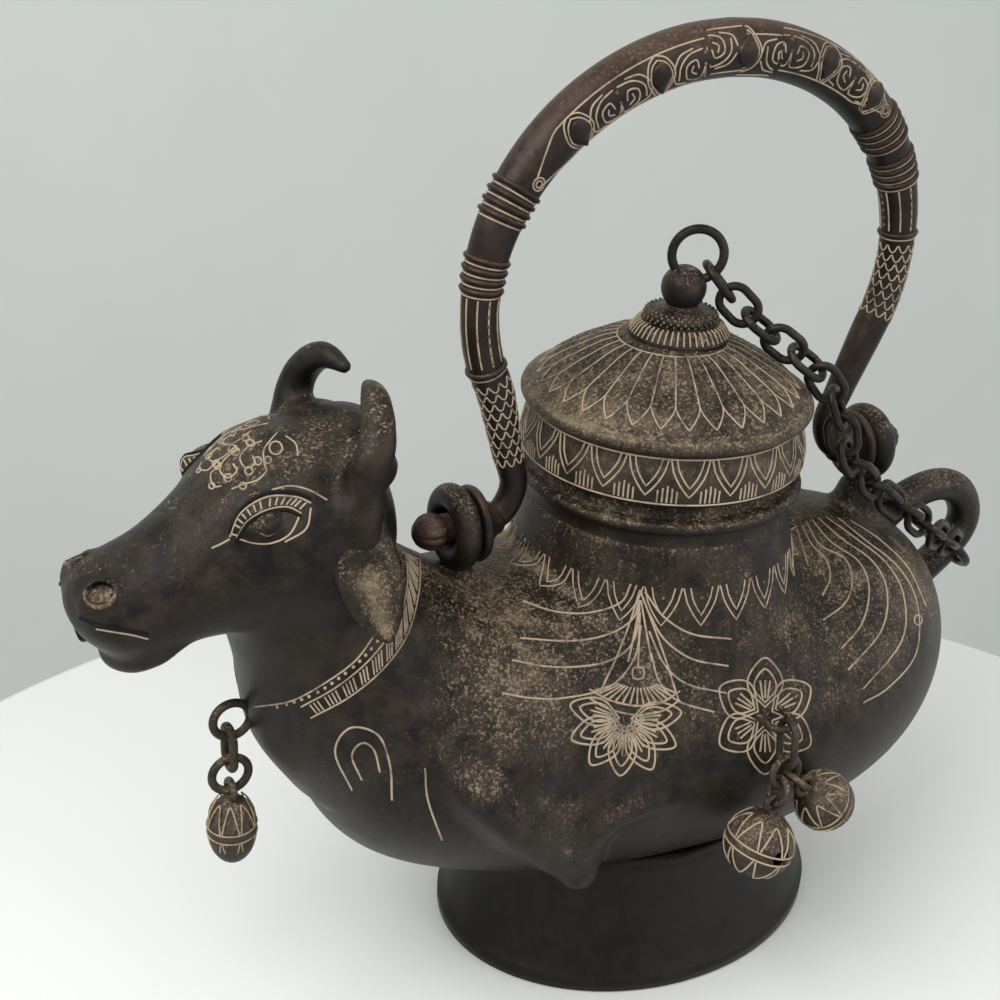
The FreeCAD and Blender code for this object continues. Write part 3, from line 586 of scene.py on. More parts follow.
def evened(points, edges, rounds, strength=0.5):
    """Moves each point towards the mean of its neighbours."""
    ends = np.concatenate([edges, edges[:, ::-1]])
    counts = np.bincount(ends[:, 0], minlength=len(points))[:, None]
    for _ in range(rounds):
        mean = np.column_stack([np.bincount(ends[:, 0], points[ends[:, 1], k], len(points))
                                for k in range(3)]) / counts
        points = points + (mean - points) * strength
    return points


# The shoulder round the filler neck is evened far more than the rest, the horns less. The
# difference between a coarse and a fine evening tells how hollow each place is.
points, edges = mesh_arrays(skin.data)
fine = evened(points, edges, 6)
broad = evened(fine, edges, 40)
far = np.hypot(points[:, 0] - place(lid_x, 0, 0).x, points[:, 1])
shoulder_r, shoulder_spread, shoulder_low, shoulder_top, fade = 0.048, 0.012, 0.080, 0.124, 0.010
shoulder = np.exp(-((far - shoulder_r) / shoulder_spread) ** 2)
shoulder *= np.clip((points[:, 2] - shoulder_low) / fade, 0,
                    1) * np.clip((shoulder_top - points[:, 2]) / fade, 0, 1)
fine = fine + (evened(broad, edges, 260) - fine) * shoulder[:, None]
broad = broad + (fine - broad) * shoulder[:, None]
horns_from = 0.176
thin = points[:, 2] > horns_from
skin.data.vertices.foreach_set("co", np.where(thin[:, None], fine, evened(fine, edges, 5)).ravel())
skin.data.update()
normals = np.empty(len(points) * 3)
skin.data.vertices.foreach_get("normal", normals)
normals = normals.reshape(-1, 3)
depth = ((broad - fine) * normals).sum(1)
hollow = np.clip(depth / 0.0013 - 0.12, 0, 0.6)


def mark_hollows(made, values):
    """Stores how much dust each point's hollow holds, for the finish to read."""
    mark = made.data.attributes.new("hollow", "FLOAT", "POINT")
    mark.data.foreach_set("value", np.clip(values, -1, 1))


# The head has been handled clean, so less dust lies on it.
head_share = np.clip((place(-84, 0, 0).x - points[:, 0]) / 0.012, 0, 1)
head_share *= np.clip((points[:, 2] - 0.095) / 0.030, 0, 1)
mark_hollows(skin, hollow - 0.42 * head_share)

# %% Openings in the skin
neck_hole_r, neck_hole_low = 0.0352, 0.095
nostril_hole_r = 0.0030
spout_half_wide, spout_half_high, spout_deep = 0.0042, 0.0026, 0.010


def without(made, test):
    """Takes out the faces whose centre passes the test, given in the foot's millimetres."""
    shape = bmesh.new()
    shape.from_mesh(made.data)
    gone = [f for f in shape.faces if test(f.calc_center_median())]
    bmesh.ops.delete(shape, geom=gone, context="FACES")
    shape.to_mesh(made.data)
    shape.free()


bore_centre = place(lid_x, 0, 0)
without(skin, lambda c: c.z > neck_hole_low and math.hypot(c.x - bore_centre.x, c.y) < neck_hole_r)
skin_tree = BVHTree.FromPolygons([v.co for v in skin.data.vertices],
                                 [tuple(f.vertices) for f in skin.data.polygons])
eye_of_camera = camera.matrix_world.translation.copy()


def seen_at(tree, px, py):
    """Place and outward direction on a form behind a place in the picture."""
    at, normal, _, _ = tree.ray_cast(eye_of_camera, sight(px, py))
    return at, normal


def across(vector):
    """Mirror image across the cow's middle plane."""
    return Vector((vector.x, -vector.y, vector.z))


# %% Recess behind the foreleg and the shallow valley by the haunch
# Place in the picture, then reach and depth in metres
dents = ((572, 803, 0.0055, 0.0030), (545, 800, 0.0040, 0.0016), (820, 575, 0.0095, 0.0014),
         (835, 540, 0.0080, 0.0009), (470, 770, 0.0060, 0.0012))
for px, py, reach, depth in dents:
    at, way = seen_at(skin_tree, px, py)
    for middle, inwards in ((at, way), (across(at), across(way))):
        for vertex in skin.data.vertices:
            gap = (vertex.co - middle).length
            if gap < reach * 2.4:
                vertex.co -= inwards * (depth * math.exp(-(gap / reach) ** 2))
skin.data.update()
skin_tree = BVHTree.FromPolygons([v.co for v in skin.data.vertices],
                                 [tuple(f.vertices) for f in skin.data.polygons])

# %% Holes for the nostrils and the spout
near_nostril, nostril_way = seen_at(skin_tree, 99, 591)
without(skin, lambda c: min((c - near_nostril).length, (c - across(near_nostril)).length) < nostril_hole_r)
spout_at = skin_tree.ray_cast(place(-200, 0, 135.5), Vector((1, 0, 0)))[0]
without(skin, lambda c: c.x < spout_at.x + spout_deep
        and (c.y / spout_half_wide) ** 2 + ((c.z - spout_at.z) / spout_half_high) ** 2 < 1.0)
skin.data.polygons.foreach_set("use_smooth", [True] * len(skin.data.polygons))
skin.data.materials.clear()
skin.data.materials.append(body_bronze)
belongs(skin, "vessel", "body_bronze", "vessel_body", "head_spout", "horn_left", "horn_right")
print("skin:", len(skin.data.polygons), "faces")

# %% Ears
ear, ear_cups = ear_form()
ear_verts, ear_faces = both_sides(ear)
ears = settle(piece("ears", places(ear_verts), ear_faces, body_bronze))
mark_hollows(ears, np.concatenate([ear_cups, ear_cups]) * 0.75)
belongs(ears, "vessel", "body_bronze", "ear_left", "ear_right")

# %% [markdown]
# The nostrils and the spout between the lips are real holes. Each gets a small turned cup
# with a rolled edge, set in a place where the skin has been cut away.


# %% Nostrils and spout
def cup_form(at, way, outline, squeeze=1.0, upright=Vector((0, 0, 1)), count=40):
    """Closed turned form whose axis points out of the skin; squeeze flattens it along the upright."""
    way = way.normalized()
    side = upright.cross(way).normalized()
    top = way.cross(side)
    cos, sin = round_turn(count)
    sections = []
    for r, z in outline:
        ring = [at + (side * (c * r) + top * (s * r * squeeze) + way * z) / 1000.0
                for c, s in zip(cos, sin)]
        sections.append(array_of(ring))
    return rings(sections)


nostril_dust_r, nostril_dust = 0.0046, 0.7
nostril_outline = [(3.9, -2.2), (3.9, -1.3), (3.6, -0.85), (3.3, -0.75), (3.0, -0.95), (2.8, -1.7),
                   (2.5, -2.9), (1.8, -3.8), (0.3, -4.1)]
spout_outline = [(4.5, -2.4), (4.5, -1.0), (4.3, -0.5), (4.0, -0.3), (3.7, -0.5), (3.6, -1.2), (3.5, -7.0),
                 (3.2, -11.0), (0.3, -11.2)]
nostril_cups = [cup_form(near_nostril, nostril_way, nostril_outline),
                cup_form(across(near_nostril), across(nostril_way), nostril_outline)]
spout_cup = cup_form(spout_at, Vector((-1, 0, 0)), spout_outline, 0.6)
# The spout's cup, rolled edge and all, wears the near-black finish as painted shade in the opening.
for name, forms, material in (("nostrils", nostril_cups, body_bronze),
                              ("spout_lip", [spout_cup], painted_shade_bronze)):
    verts, faces = merged(forms)
    made = piece(name, verts, faces, material)
    if name == "nostrils":
        low = verts[:, 2] < near_nostril.z - 0.0004
        reach = np.minimum(np.linalg.norm(verts - np.array(near_nostril), axis=1),
                           np.linalg.norm(verts - np.array(across(near_nostril)), axis=1))
        mark_hollows(made, (low & (reach < nostril_dust_r)) * nostril_dust)
    settle(made)
    belongs(made, "vessel", "body_bronze")

# %% [markdown]
# Turned pieces: the rolled rim and upstand of the filler neck, the lid with its bead and skirt,
# and the finial. A lathe outline gives each, closed all round, with enough points for its curves.


# %% Turned pieces
def curve_outline(points, steps=5):
    return [tuple(p) for p in softly(points, steps)]


def turned_piece(name, outline, material, body, slot, replaced, axis_x=lid_x, count=128):
    verts, faces = lathe(outline, axis_x, count)
    made = settle(piece(name, places(verts), faces, material))
    belongs(made, body, slot, replaced)
    return made


def arc(r, z, radius, first, last, count=7):
    """Points of a rounded moulding round (r, z)."""
    return [(r + radius * math.cos(math.radians(a)), z + radius * math.sin(math.radians(a)))
            for a in np.linspace(first, last, count)]


rim_outline = [(32.5, 163.0), (35.0, 163.0), (35.0, 149.2)] + arc(38.0, 147.5, 1.7, 120, -100, 9) + \
    curve_outline([(36.9, 144.6), (36.5, 142.0), (37.1, 139.0), (38.0, 135.0)], 3) + [(36.0, 134.0),
        (35.6, 104.0), (32.5, 104.0)]
turned_piece("neck_rim", rim_outline, body_bronze, "vessel", "body_bronze", "filler_neck")

lid_outline = [(13.0, 186.9)] + curve_outline([(13.6, 186.5), (19.0, 184.9), (24.0, 182.3), (29.0, 179.6),
                                               (33.3, 176.7), (36.2, 173.9)], 4) + \
    [(37.0, 172.9)] + arc(38.0, 170.4, 2.1, 75, -80, 8) + \
    curve_outline([(37.3, 167.2), (37.6, 165.0), (38.6, 162.2), (39.3, 158.6), (39.2, 155.0)], 4) + \
    [(38.8, 154.0), (36.2, 153.8), (35.6, 155.0), (35.6, 163.0), (30.4, 163.0)] + \
    curve_outline([(30.2, 164.0), (24.0, 179.0), (13.0, 183.6), (2.0, 184.4)], 3) + \
    [(0.4, 184.4), (0.4, 186.9)]
lid_petals = 31
lid_shell = turned_piece("lid_shell", lid_outline, lid_bronze, "lid", "lid_bronze", "lid",
                         count=lid_petals * 8)
lid_points, _ = mesh_arrays(lid_shell.data)
around = np.arctan2(lid_points[:, 1], lid_points[:, 0] - bore_centre.x)
out = np.hypot(lid_points[:, 1], lid_points[:, 0] - bore_centre.x)
groove = np.abs(np.cos(around * lid_petals / 2.0)) ** 8
on_dome = (lid_points[:, 2] > 0.1730) & (out > 0.0145) & (out < 0.0370)
on_dome &= lid_points[:, 2] > 0.1855 - (out - 0.0145) * 0.62
lid_points[:, 2] -= on_dome * groove * 0.00045
lid_shell.data.vertices.foreach_set("co", lid_points.ravel())
on_bead = (out > 0.0378) & (lid_points[:, 2] > 0.1688) & (lid_points[:, 2] < 0.1728)
mark_hollows(lid_shell, on_dome * groove * 0.25 + on_bead * 0.34)

finial_x = -0.8
finial_outline = [(0.3, 186.4), (13.4, 186.4), (13.7, 187.4), (13.0, 188.4), (11.9, 190.2),
                  (9.6, 191.0)] + \
    arc(8.4, 192.4, 1.5, -70, 80, 6) + curve_outline([(7.0, 194.2), (4.6, 195.0), (4.3, 195.6)], 3) + \
    arc(0.0, 199.9, 6.1, -44, 88, 14) + [(0.3, 205.9)]
turned_piece("finial", finial_outline, lid_bronze, "lid", "lid_bronze", "lid_finial", finial_x, 64)

foot_rows = [(0.0, 0.985), (0.6, 1.0), (4.2, 1.0), (5.0, 0.985), (9.0, 0.955), (15.0, 0.905), (22.0, 0.86),
             (29.0, 0.83), (36.0, 0.815), (41.0, 0.81)]


foot_long, foot_wide, foot_wall, foot_count = 62.5, 49.0, 3.0, 120


def oval_rings(rows, inward=0.0):
    cos, sin = round_turn(foot_count)
    return [np.column_stack([cos * (foot_long * s - inward), sin * (foot_wide * s - inward),
                             np.full(foot_count, z)])
            for z, s in rows]


foot_sections = oval_rings(foot_rows) + oval_rings(foot_rows[::-1], foot_wall)
foot_v, foot_f = rings(foot_sections, close=False)
last = (len(foot_sections) - 1) * foot_count
foot_f += [(last + j, last + (j + 1) % foot_count, (j + 1) % foot_count, j) for j in range(foot_count)]
foot = settle(piece("foot", places(foot_v), foot_f, foot_bronze))
belongs(foot, "vessel", "foot_bronze", "foot_ring")

# %% [markdown]
# The ornament is line work: grooves cut in the metal that have filled with pale dust. A line
# is a chain of points on the surface, and one Geometry Nodes tree sweeps a small round
# section along all lines of a group. A second tree puts a small ball on every point.


# %% Trees for lines and dots
def new_tree(name, size_name):
    tree = bpy.data.node_groups.new(name, "GeometryNodeTree")
    tree.interface.new_socket(name="Geometry", in_out="INPUT", socket_type="NodeSocketGeometry")
    marks = {"size": tree.interface.new_socket(name=size_name, in_out="INPUT",
                                               socket_type="NodeSocketFloat").identifier,
             "finish": tree.interface.new_socket(name="Finish", in_out="INPUT",
                 socket_type="NodeSocketMaterial").identifier}
    tree.interface.new_socket(name="Geometry", in_out="OUTPUT", socket_type="NodeSocketGeometry")
    return tree, marks


def chained(tree, kinds):
    """Adds nodes by name and returns them with the tree's two ends."""
    made = {name: tree.nodes.new(kind) for name, kind in kinds.items()}
    made["start"], made["end"] = tree.nodes.new("NodeGroupInput"), tree.nodes.new("NodeGroupOutput")
    return made


wires, wire_marks = new_tree("engraved_lines", "Thickness")
n = chained(wires, {"curve": "GeometryNodeMeshToCurve", "section": "GeometryNodeCurvePrimitiveCircle",
                    "sweep": "GeometryNodeCurveToMesh", "real": "GeometryNodeRealizeInstances",
                    "paint": "GeometryNodeSetMaterial"})
n["section"].inputs["Resolution"].default_value = 6
n["sweep"].inputs["Fill Caps"].default_value = True
for first, second in ((n["start"].outputs[0], n["curve"].inputs[0]),
                      (n["curve"].outputs[0], n["sweep"].inputs["Curve"]),
                      (n["start"].outputs["Thickness"], n["section"].inputs["Radius"]),
                      (n["section"].outputs[0], n["sweep"].inputs["Profile Curve"]),
                      (n["sweep"].outputs[0], n["real"].inputs[0]),
                      (n["real"].outputs[0], n["paint"].inputs["Geometry"]),
                      (n["start"].outputs["Finish"], n["paint"].inputs["Material"]),
                      (n["paint"].outputs[0], n["end"].inputs[0])):
    wires.links.new(first, second)

balls, ball_marks = new_tree("small_dots", "Radius")
n = chained(balls, {"ball": "GeometryNodeMeshUVSphere", "put": "GeometryNodeInstanceOnPoints",
                    "real": "GeometryNodeRealizeInstances", "paint": "GeometryNodeSetMaterial"})
n["ball"].inputs["Segments"].default_value = 8
n["ball"].inputs["Rings"].default_value = 5
for first, second in ((n["start"].outputs[0], n["put"].inputs["Points"]),
                      (n["ball"].outputs[0], n["put"].inputs["Instance"]),
                      (n["start"].outputs["Radius"], n["ball"].inputs["Radius"]),
                      (n["put"].outputs[0], n["real"].inputs[0]),
                      (n["real"].outputs[0], n["paint"].inputs["Geometry"]),
                      (n["start"].outputs["Finish"], n["paint"].inputs["Material"]),
                      (n["paint"].outputs[0], n["end"].inputs[0])):
    balls.links.new(first, second)


def with_tree(made, tree, marks, size_mm, material, body, slot_name):
    change = made.modifiers.new("tree", "NODES")
    change.node_group = tree
    change[marks["size"]] = size_mm / 1000.0
    change[marks["finish"]] = material
    evaluated(made)
    made.data.polygons.foreach_set("use_smooth", [True] * len(made.data.polygons))
    belongs(made, body, slot_name)
    print(made.name, len(made.data.polygons), "faces")


def engraved(name, lines, size_mm, material, body, slot_name):
    """All lines of one group as round wires half sunk in the surface; their points are in metres."""
    verts, edges = [], []
    for line in lines:
        broken = np.linalg.norm(np.diff(line, axis=0), axis=1) > 0.006 if len(line) > 1 else []
        start = len(verts)
        verts += [tuple(p) for p in line]
        edges += [(start + i, start + i + 1) for i in range(len(line) - 1) if not broken[i]]
    mesh = bpy.data.meshes.new(name)
    mesh.from_pydata(verts, edges, [])
    made = bpy.data.objects.new(name, mesh)
    bpy.context.scene.collection.objects.link(made)
    with_tree(made, wires, wire_marks, size_mm, material, body, slot_name)


def dotted(name, points, size_mm, material, body, slot_name):
    mesh = bpy.data.meshes.new(name)
    mesh.from_pydata([tuple(p) for p in points], [], [])
    made = bpy.data.objects.new(name, mesh)
    bpy.context.scene.collection.objects.link(made)
    with_tree(made, balls, ball_marks, size_mm, material, body, slot_name)


# %% Lines on a form behind the picture
def drawn(tree, pixels, steps=6, closed=False):
    """Places on a form behind a smooth line in the picture."""
    line = np.asarray(pixels, float)
    rows = softly(np.vstack([line, line[:1]]) if closed else line, steps)
    found = [tree.ray_cast(eye_of_camera, sight(px, py))[0] for px, py in rows]
    return array_of(found)


def on_skin(pixels, steps=6, closed=False):
    """Places on the cow's skin behind a smooth line in the picture."""
    return drawn(skin_tree, pixels, steps, closed)


def shifted(pixels, dx, dy):
    return [(px + dx, py + dy) for px, py in pixels]


def petal(centre, degrees, reach, width, start=0.0, stretch=1.0):
    """Closed pointed leaf in the picture, from its centre outwards; stretch scales it upwards."""
    way = np.array([math.cos(math.radians(degrees)), math.sin(math.radians(degrees))])
    side = np.array([-way[1], way[0]])
    rows = [(start, 0.0), (start + (reach - start) * 0.35, width * 0.85),
            (start + (reach - start) * 0.68, width * 0.8), (reach, 0.0),
            (start + (reach - start) * 0.68, -width * 0.8), (start + (reach - start) * 0.35, -width * 0.85)]
    points = [way * u + side * v for u, v in rows]
    return [(centre[0] + p[0], centre[1] + p[1] * stretch) for p in points]


def with_mirror(lines):
    return lines + [line * [1, -1, 1] for line in lines]


# %% [markdown]
# The shoulder carries a pendant of two borders with garlands on both sides, a fan and a lotus
# below it. A six-petalled flower frames the flank's staple, and long curves fan over the
# hind quarter. The same drawing is mirrored to the far flank.

# %% Garlands, lotus and flower
def ray_line(centre, degrees, reaches, stretch=1.0):
    """Straight line in the picture, outwards from a flower's middle."""
    way = math.radians(degrees)
    return [(centre[0] + r * math.cos(way), centre[1] + stretch * r * math.sin(way)) for r in reaches]


lotus_at, flower_at = (625, 720), (765, 716)
body_lines = []
pendant_lines = ([(640, 590), (630, 622), (617, 656), (600, 692)],
                 [(640, 590), (652, 622), (664, 655), (679, 702)],
                 [(640, 600), (635, 630), (628, 662)], [(641, 600), (646, 630), (652, 662)],
                 [(640, 612), (639, 640), (638, 668)])
left_swags = ([(631, 584), (620, 603), (587, 613), (553, 611), (523, 601)],
              [(639, 592), (634, 617), (609, 634), (570, 641), (520, 638)],
              [(640, 600), (637, 630), (626, 651), (598, 664), (553, 667), (512, 660)],
              [(641, 625), (634, 659), (609, 687), (564, 698), (531, 698), (502, 693)])
right_swags = ([(645, 592), (664, 617), (692, 634), (731, 639)],
               [(647, 609), (664, 639), (692, 659), (728, 666)],
               [(649, 631), (664, 664), (687, 684), (726, 693)],
               [(651, 653), (659, 681), (678, 701), (714, 712)])
fan_edge = [(589, 698), (609, 709), (637, 715), (662, 711), (680, 700)]
for line in pendant_lines + left_swags + right_swags + (fan_edge, shifted(fan_edge, 0, -9)):
    body_lines.append(on_skin(line))
for px, py in softly(fan_edge, 4)[1:-1]:
    body_lines.append(on_skin([(638 + (px - 638) * 0.45, 676 + (py - 676) * 0.3), (px, py - 10)], 3))
body_lines.append(on_skin([(633, 668), (643, 668), (643, 678), (633, 678)], 2, True))
for degrees in (196, 160, 127, 95, 62, 28, -8):
    body_lines.append(on_skin(petal(lotus_at, degrees, 57, 15, 6, 0.98), closed=True))
    body_lines.append(on_skin(petal(lotus_at, degrees, 47, 10, 10, 0.98), closed=True))
    for spread in (-7, 0, 7):
        reaches = (14, 24, 36 - abs(spread) * 0.5)
        body_lines.append(on_skin(ray_line(lotus_at, degrees + spread, reaches), 2))
for degrees in range(30, 390, 60):
    body_lines.append(on_skin(petal(flower_at, degrees, 52, 19, 8, 1.12), closed=True))
    body_lines.append(on_skin(petal(flower_at, degrees, 42, 12, 12, 1.12), closed=True))
    for spread in (-9, 0, 9):
        body_lines.append(on_skin(ray_line(flower_at, degrees + spread, (16, 24, 32), 1.12), 2))
for curve in ([(806, 522), (820, 545), (845, 559), (852, 581), (845, 603), (823, 620)],
              [(812, 520), (831, 542), (859, 562), (869, 589), (862, 623), (841, 649)],
              [(818, 518), (842, 539), (873, 562), (887, 592), (881, 631), (848, 670)],
              [(826, 517), (855, 538), (887, 564), (904, 598), (901, 642), (863, 689)],
              [(838, 518), (865, 540), (898, 567), (917, 603), (916, 653), (889, 687), (863, 703)],
              [(802, 526), (812, 545), (826, 560), (830, 578), (822, 596)],
              [(850, 520), (880, 540), (908, 568), (926, 606)], [(797, 530), (803, 550), (808, 566)]):
    body_lines.append(on_skin(curve))
bud_ring = [(918 + 4 * math.cos(a), 620 + 5 * math.sin(a)) for a in np.linspace(0, 5.4, 6)]
body_lines.append(on_skin(bud_ring, 3, True))
for hook in ([(352, 790), (335, 752), (350, 728), (378, 735), (390, 765), (392, 800)],
             [(425, 768), (428, 800), (442, 840)],
             [(362, 780), (352, 756), (362, 743), (374, 750), (380, 772)]):
    body_lines.append(on_skin(hook))
engraved("body_lines", with_mirror(body_lines), 0.30, line_dust, "vessel", "body_bronze")
seeds = [(577, 603), (553, 602), (600, 622), (560, 628), (590, 650), (545, 655), (580, 682), (545, 686),
         (680, 622), (700, 650), (690, 672), (705, 700)]
seeds = on_skin(seeds, 1)
dotted("body_dots", np.concatenate([seeds, seeds * [1, -1, 1]]), 0.36, soft_dust, "vessel", "body_bronze")

# %% Collar on the cow's neck
inner = softly([(377, 631), (356, 660), (325, 683), (291, 701), (254, 707)], 10)
middle = softly([(402, 552), (406, 558), (407, 586), (398, 620), (372, 657), (338, 686), (301, 707)], 10)
outer = softly([(420, 557), (419, 591), (408, 633), (385, 667), (351, 696), (311, 718)], 12)
collar = [on_skin(line, 1) for line in (inner, middle, outer)]
for share in np.linspace(0.02, 0.98, 46):
    start, end = middle[int(share * (len(middle) - 1))], outer[int(share * (len(outer) - 1))]
    tick = [start * 0.85 + end * 0.15, start * 0.5 + end * 0.5, start * 0.12 + end * 0.88]
    collar.append(on_skin(tick, 2))
engraved("collar_lines", with_mirror(collar), 0.24, line_dust, "vessel", "body_bronze")
collar_dots = on_skin([inner[int(s * (len(inner) - 1))] * 0.5
                       + middle[int((0.42 + 0.58 * s) * (len(middle) - 1))] * 0.5
                                for s in np.linspace(0.0, 1.0, 19)], 1)
dotted("collar_dots", np.concatenate([collar_dots, collar_dots * [1, -1, 1]]), 0.48, line_dust, "vessel",
       "body_bronze")

# %% Lotus scallops round the filler neck
scallops, scallop_dots = [], []
neck_middle = place(lid_x, 0, 0)


def on_shoulder(height, turn):
    """Place on the skin at a height round the filler neck, found from outside towards its axis."""
    way = Vector((math.cos(turn), math.sin(turn), -0.9)).normalized()
    aimed = Vector((neck_middle.x, 0, 0))
    aimed += Vector((math.cos(turn) * 0.040, math.sin(turn) * 0.040, height / 1000.0))
    return skin_tree.ray_cast(aimed + Vector((way.x, way.y, 0.9)) * 0.05,
                              -Vector((way.x, way.y, 0.9)).normalized())[0]


for k in range(24):
    middle_turn, half = 2 * math.pi * k / 24, math.pi / 24
    for low, narrow in ((118.5, 0.96), (122.0, 0.60)):
        leaf = [on_shoulder(131.5 - (131.5 - low) * (1 - abs(s)) ** 0.62, middle_turn + half * narrow * s)
                for s in np.linspace(-1, 1, 11)]
        scallops.append(array_of(leaf))
    at = on_shoulder(128.0, middle_turn)
    if at is not None:
        scallop_dots.append(tuple(at))
engraved("scallops", [line for line in scallops if len(line) > 2], 0.24, line_dust, "vessel", "body_bronze")
dotted("scallop_dots", scallop_dots, 0.5, soft_dust, "vessel", "body_bronze")

# %% [markdown]
# The face is calm and plain: almond eyes under a hatched lid, a curl on the forehead, and a
# fine pale edge along the mouth.


# %% Low raised drops
def drop_form(at, normal, along, half_long, half_wide, high, tip=0.0, count=16):
    """Closed low drop standing on a surface, in millimetres; tip draws its far end to a point."""
    normal = normal.normalized()
    along = (along - normal * along.dot(normal)).normalized()
    side = normal.cross(along)
    cos, sin = round_turn(count)
    sections = []
    for share in np.linspace(-0.98, 0.98, 11):
        width = math.sqrt(1 - share * share) * (1 - tip * max(share, 0.0)) * (1 + tip * 0.15)
        ring = [at + (along * (share * half_long) + side * (c * half_wide * width)
                      + normal * (s * high * width)) / 1000.0
                for c, s in zip(cos, sin)]
        sections.append(array_of(ring))
    return rings(sections)


def mirrored_form(form):
    return form[0] * [1, -1, 1], [tuple(reversed(f)) for f in form[1]]


# %% Eyes, forehead and mouth
eye_at, eye_way = seen_at(skin_tree, 268, 527)
eye_form = drop_form(eye_at - eye_way * 0.0010, eye_way, Vector((1, 0.25, 0.35)), 5.2, 2.7, 1.5)
eye_verts, eye_faces = merged([eye_form, mirrored_form(eye_form)])
eyes = settle(piece("eyes", eye_verts, eye_faces, body_bronze))
belongs(eyes, "vessel", "body_bronze")
upper_lid = softly([(237, 538), (248, 521), (267, 510), (287, 507), (301, 513)], 8)
lid_fold = softly([(230, 537), (241, 513), (267, 497), (296, 497), (311, 503)], 8)
face_lines = [on_skin(upper_lid, 1), on_skin(lid_fold, 1),
              on_skin([(237, 538), (254, 543), (272, 543), (290, 534), (301, 513)]),
              on_skin([(230, 539), (221, 544), (212, 548)]), on_skin([(311, 508), (306, 529), (285, 542)]),
              on_skin([(272, 490), (290, 486), (309, 490), (327, 500)])]
for share in np.linspace(0.06, 0.94, 14):
    start, end = upper_lid[int(share * (len(upper_lid) - 1))], lid_fold[int(share * (len(lid_fold) - 1))]
    face_lines.append(on_skin([start * 0.8 + end * 0.2, start * 0.15 + end * 0.85], 3))
for curl in ([(277, 433), (270, 441), (264, 450), (264, 461), (267, 471)],
             [(262, 441), (248, 447), (240, 458), (246, 468), (255, 464), (253, 456)],
             [(240, 449), (226, 458), (220, 470), (228, 478), (237, 471), (233, 464)],
             [(222, 464), (211, 474), (214, 486), (222, 486)],
             [(267, 471), (258, 480), (245, 484), (232, 489)], [(286, 436), (296, 444), (298, 456)]):
    face_lines.append(on_skin(curl))
for px, py, r in ((249, 471, 4), (236, 452, 4), (228, 478, 4), (243, 486, 3.5), (258, 461, 4),
                  (268, 460, 3.5), (218, 466, 3.5), (246, 438, 3.5), (212, 486, 3)):
    face_lines.append(on_skin([(px + r * math.cos(a), py + r * math.sin(a))
                               for a in np.linspace(0, 2 * math.pi, 7)[:-1]], 2, True))
face_lines.append(on_skin([(276 + 6.5 * math.cos(a), 448 + 6.5 * math.sin(a))
                           for a in np.linspace(0, 2 * math.pi, 9)[:-1]], 3, True))
face_lines.append(on_skin([(96, 629), (114, 632), (132, 635), (148, 639)]))
engraved("face_lines", with_mirror(face_lines), 0.24, line_dust, "vessel", "body_bronze")
# Painted shade: thick near-black wires along the mouth's crease, just below the upper lid's edge and just
# above the lid's fold.
mouth = on_skin([(80, 618), (92, 624), (110, 628), (130, 631), (148, 635)])
painted_lid_shade = [on_skin([(px, py + 3) for px, py in upper_lid[::4]], 3),
            on_skin([(px, py - 4) for px, py in lid_fold[::4]], 3)]
engraved("mouth_and_lid_painted_shade", with_mirror([mouth] + painted_lid_shade), 0.5, painted_shade_bronze, "vessel", "body_bronze")
pupil = drawn(BVHTree.FromPolygons([Vector(v) for v in eye_verts], eye_faces),
              [(260, 533), (268, 536), (278, 531)])
engraved("eye_arcs", with_mirror([pupil]), 0.22, soft_dust, "vessel", "body_bronze")

# %% [markdown]
# The lid is a lotus seen from below its stalk: long petals that end in points at a dusty
# bead, and a skirt of short petals hanging under it. Its lines follow the turned outline.


# %% Lid ornament
def lid_place(r, z, turn, centre_x=lid_x):
    return tuple(place(centre_x + r * math.cos(turn), r * math.sin(turn), z))


dome_r = [13.6, 19.0, 24.0, 29.0, 33.3, 36.2]
dome_z = [186.45, 184.85, 182.25, 179.5, 176.6, 173.85]
skirt_z = [154.0, 155.0, 158.6, 162.2, 165.0, 167.2]
skirt_r = [38.9, 39.25, 39.35, 38.65, 37.65, 37.35]


def on_dome_at(r, turn):
    return lid_place(r, float(np.interp(r, dome_r, dome_z)), turn)


def on_skirt_at(z, turn):
    return lid_place(float(np.interp(z, skirt_z, skirt_r)), z, turn)


lid_lines, lid_dots = [], []
for k in range(lid_petals):
    turn, half = 2 * math.pi * (k + 0.5) / lid_petals, math.pi / lid_petals
    lid_lines.append(np.array([on_dome_at(r, turn) for r in np.linspace(15.0, 30.6, 9)]))
    for way in (-1, 1):
        lid_lines.append(np.array([on_dome_at(30.6 + 5.2 * s, turn + way * half * s ** 1.6)
                                   for s in np.linspace(0, 1, 6)]))
    lid_dots += [on_dome_at(r, turn + half) for r in np.linspace(20.0, 31.0, 6)]
skirt_petals = 22
for k in range(skirt_petals):
    turn, half = 2 * math.pi * k / skirt_petals, math.pi / skirt_petals
    for narrow, low in ((0.94, 157.2), (0.66, 159.6)):
        lid_lines.append(np.array([on_skirt_at(166.8 - (166.8 - low) * (1 - abs(s)) ** 0.6, turn
                                               + half * narrow * s) for s in np.linspace(-1, 1, 15)]))
    for s in np.linspace(-0.8, 0.8, 5):
        lid_lines.append(np.array([on_skirt_at(z, turn + half + half * s * 0.55)
                                   for z in (155.6, 157.0, 158.4, 160.2 - 1.6 * abs(s))]))
circle = np.linspace(0, 2 * math.pi, 161)
lid_lines += [np.array([on_skirt_at(155.0, t) for t in circle]),
              np.array([on_skirt_at(166.9, t) for t in circle]),
              np.array([lid_place(14.9, 186.0, t) for t in circle])]
engraved("lid_lines", lid_lines, 0.26, line_dust, "lid", "lid_bronze")
dotted("lid_dots", lid_dots, 0.32, soft_dust, "lid", "lid_bronze")
collar_ticks = [np.array([lid_place(r, z, t, finial_x) for r,
                          z in ((13.5, 187.9), (12.9, 188.7), (11.8, 190.3), (10.6, 190.8))])
                for t in np.linspace(0, 2 * math.pi, 49)[:-1]]
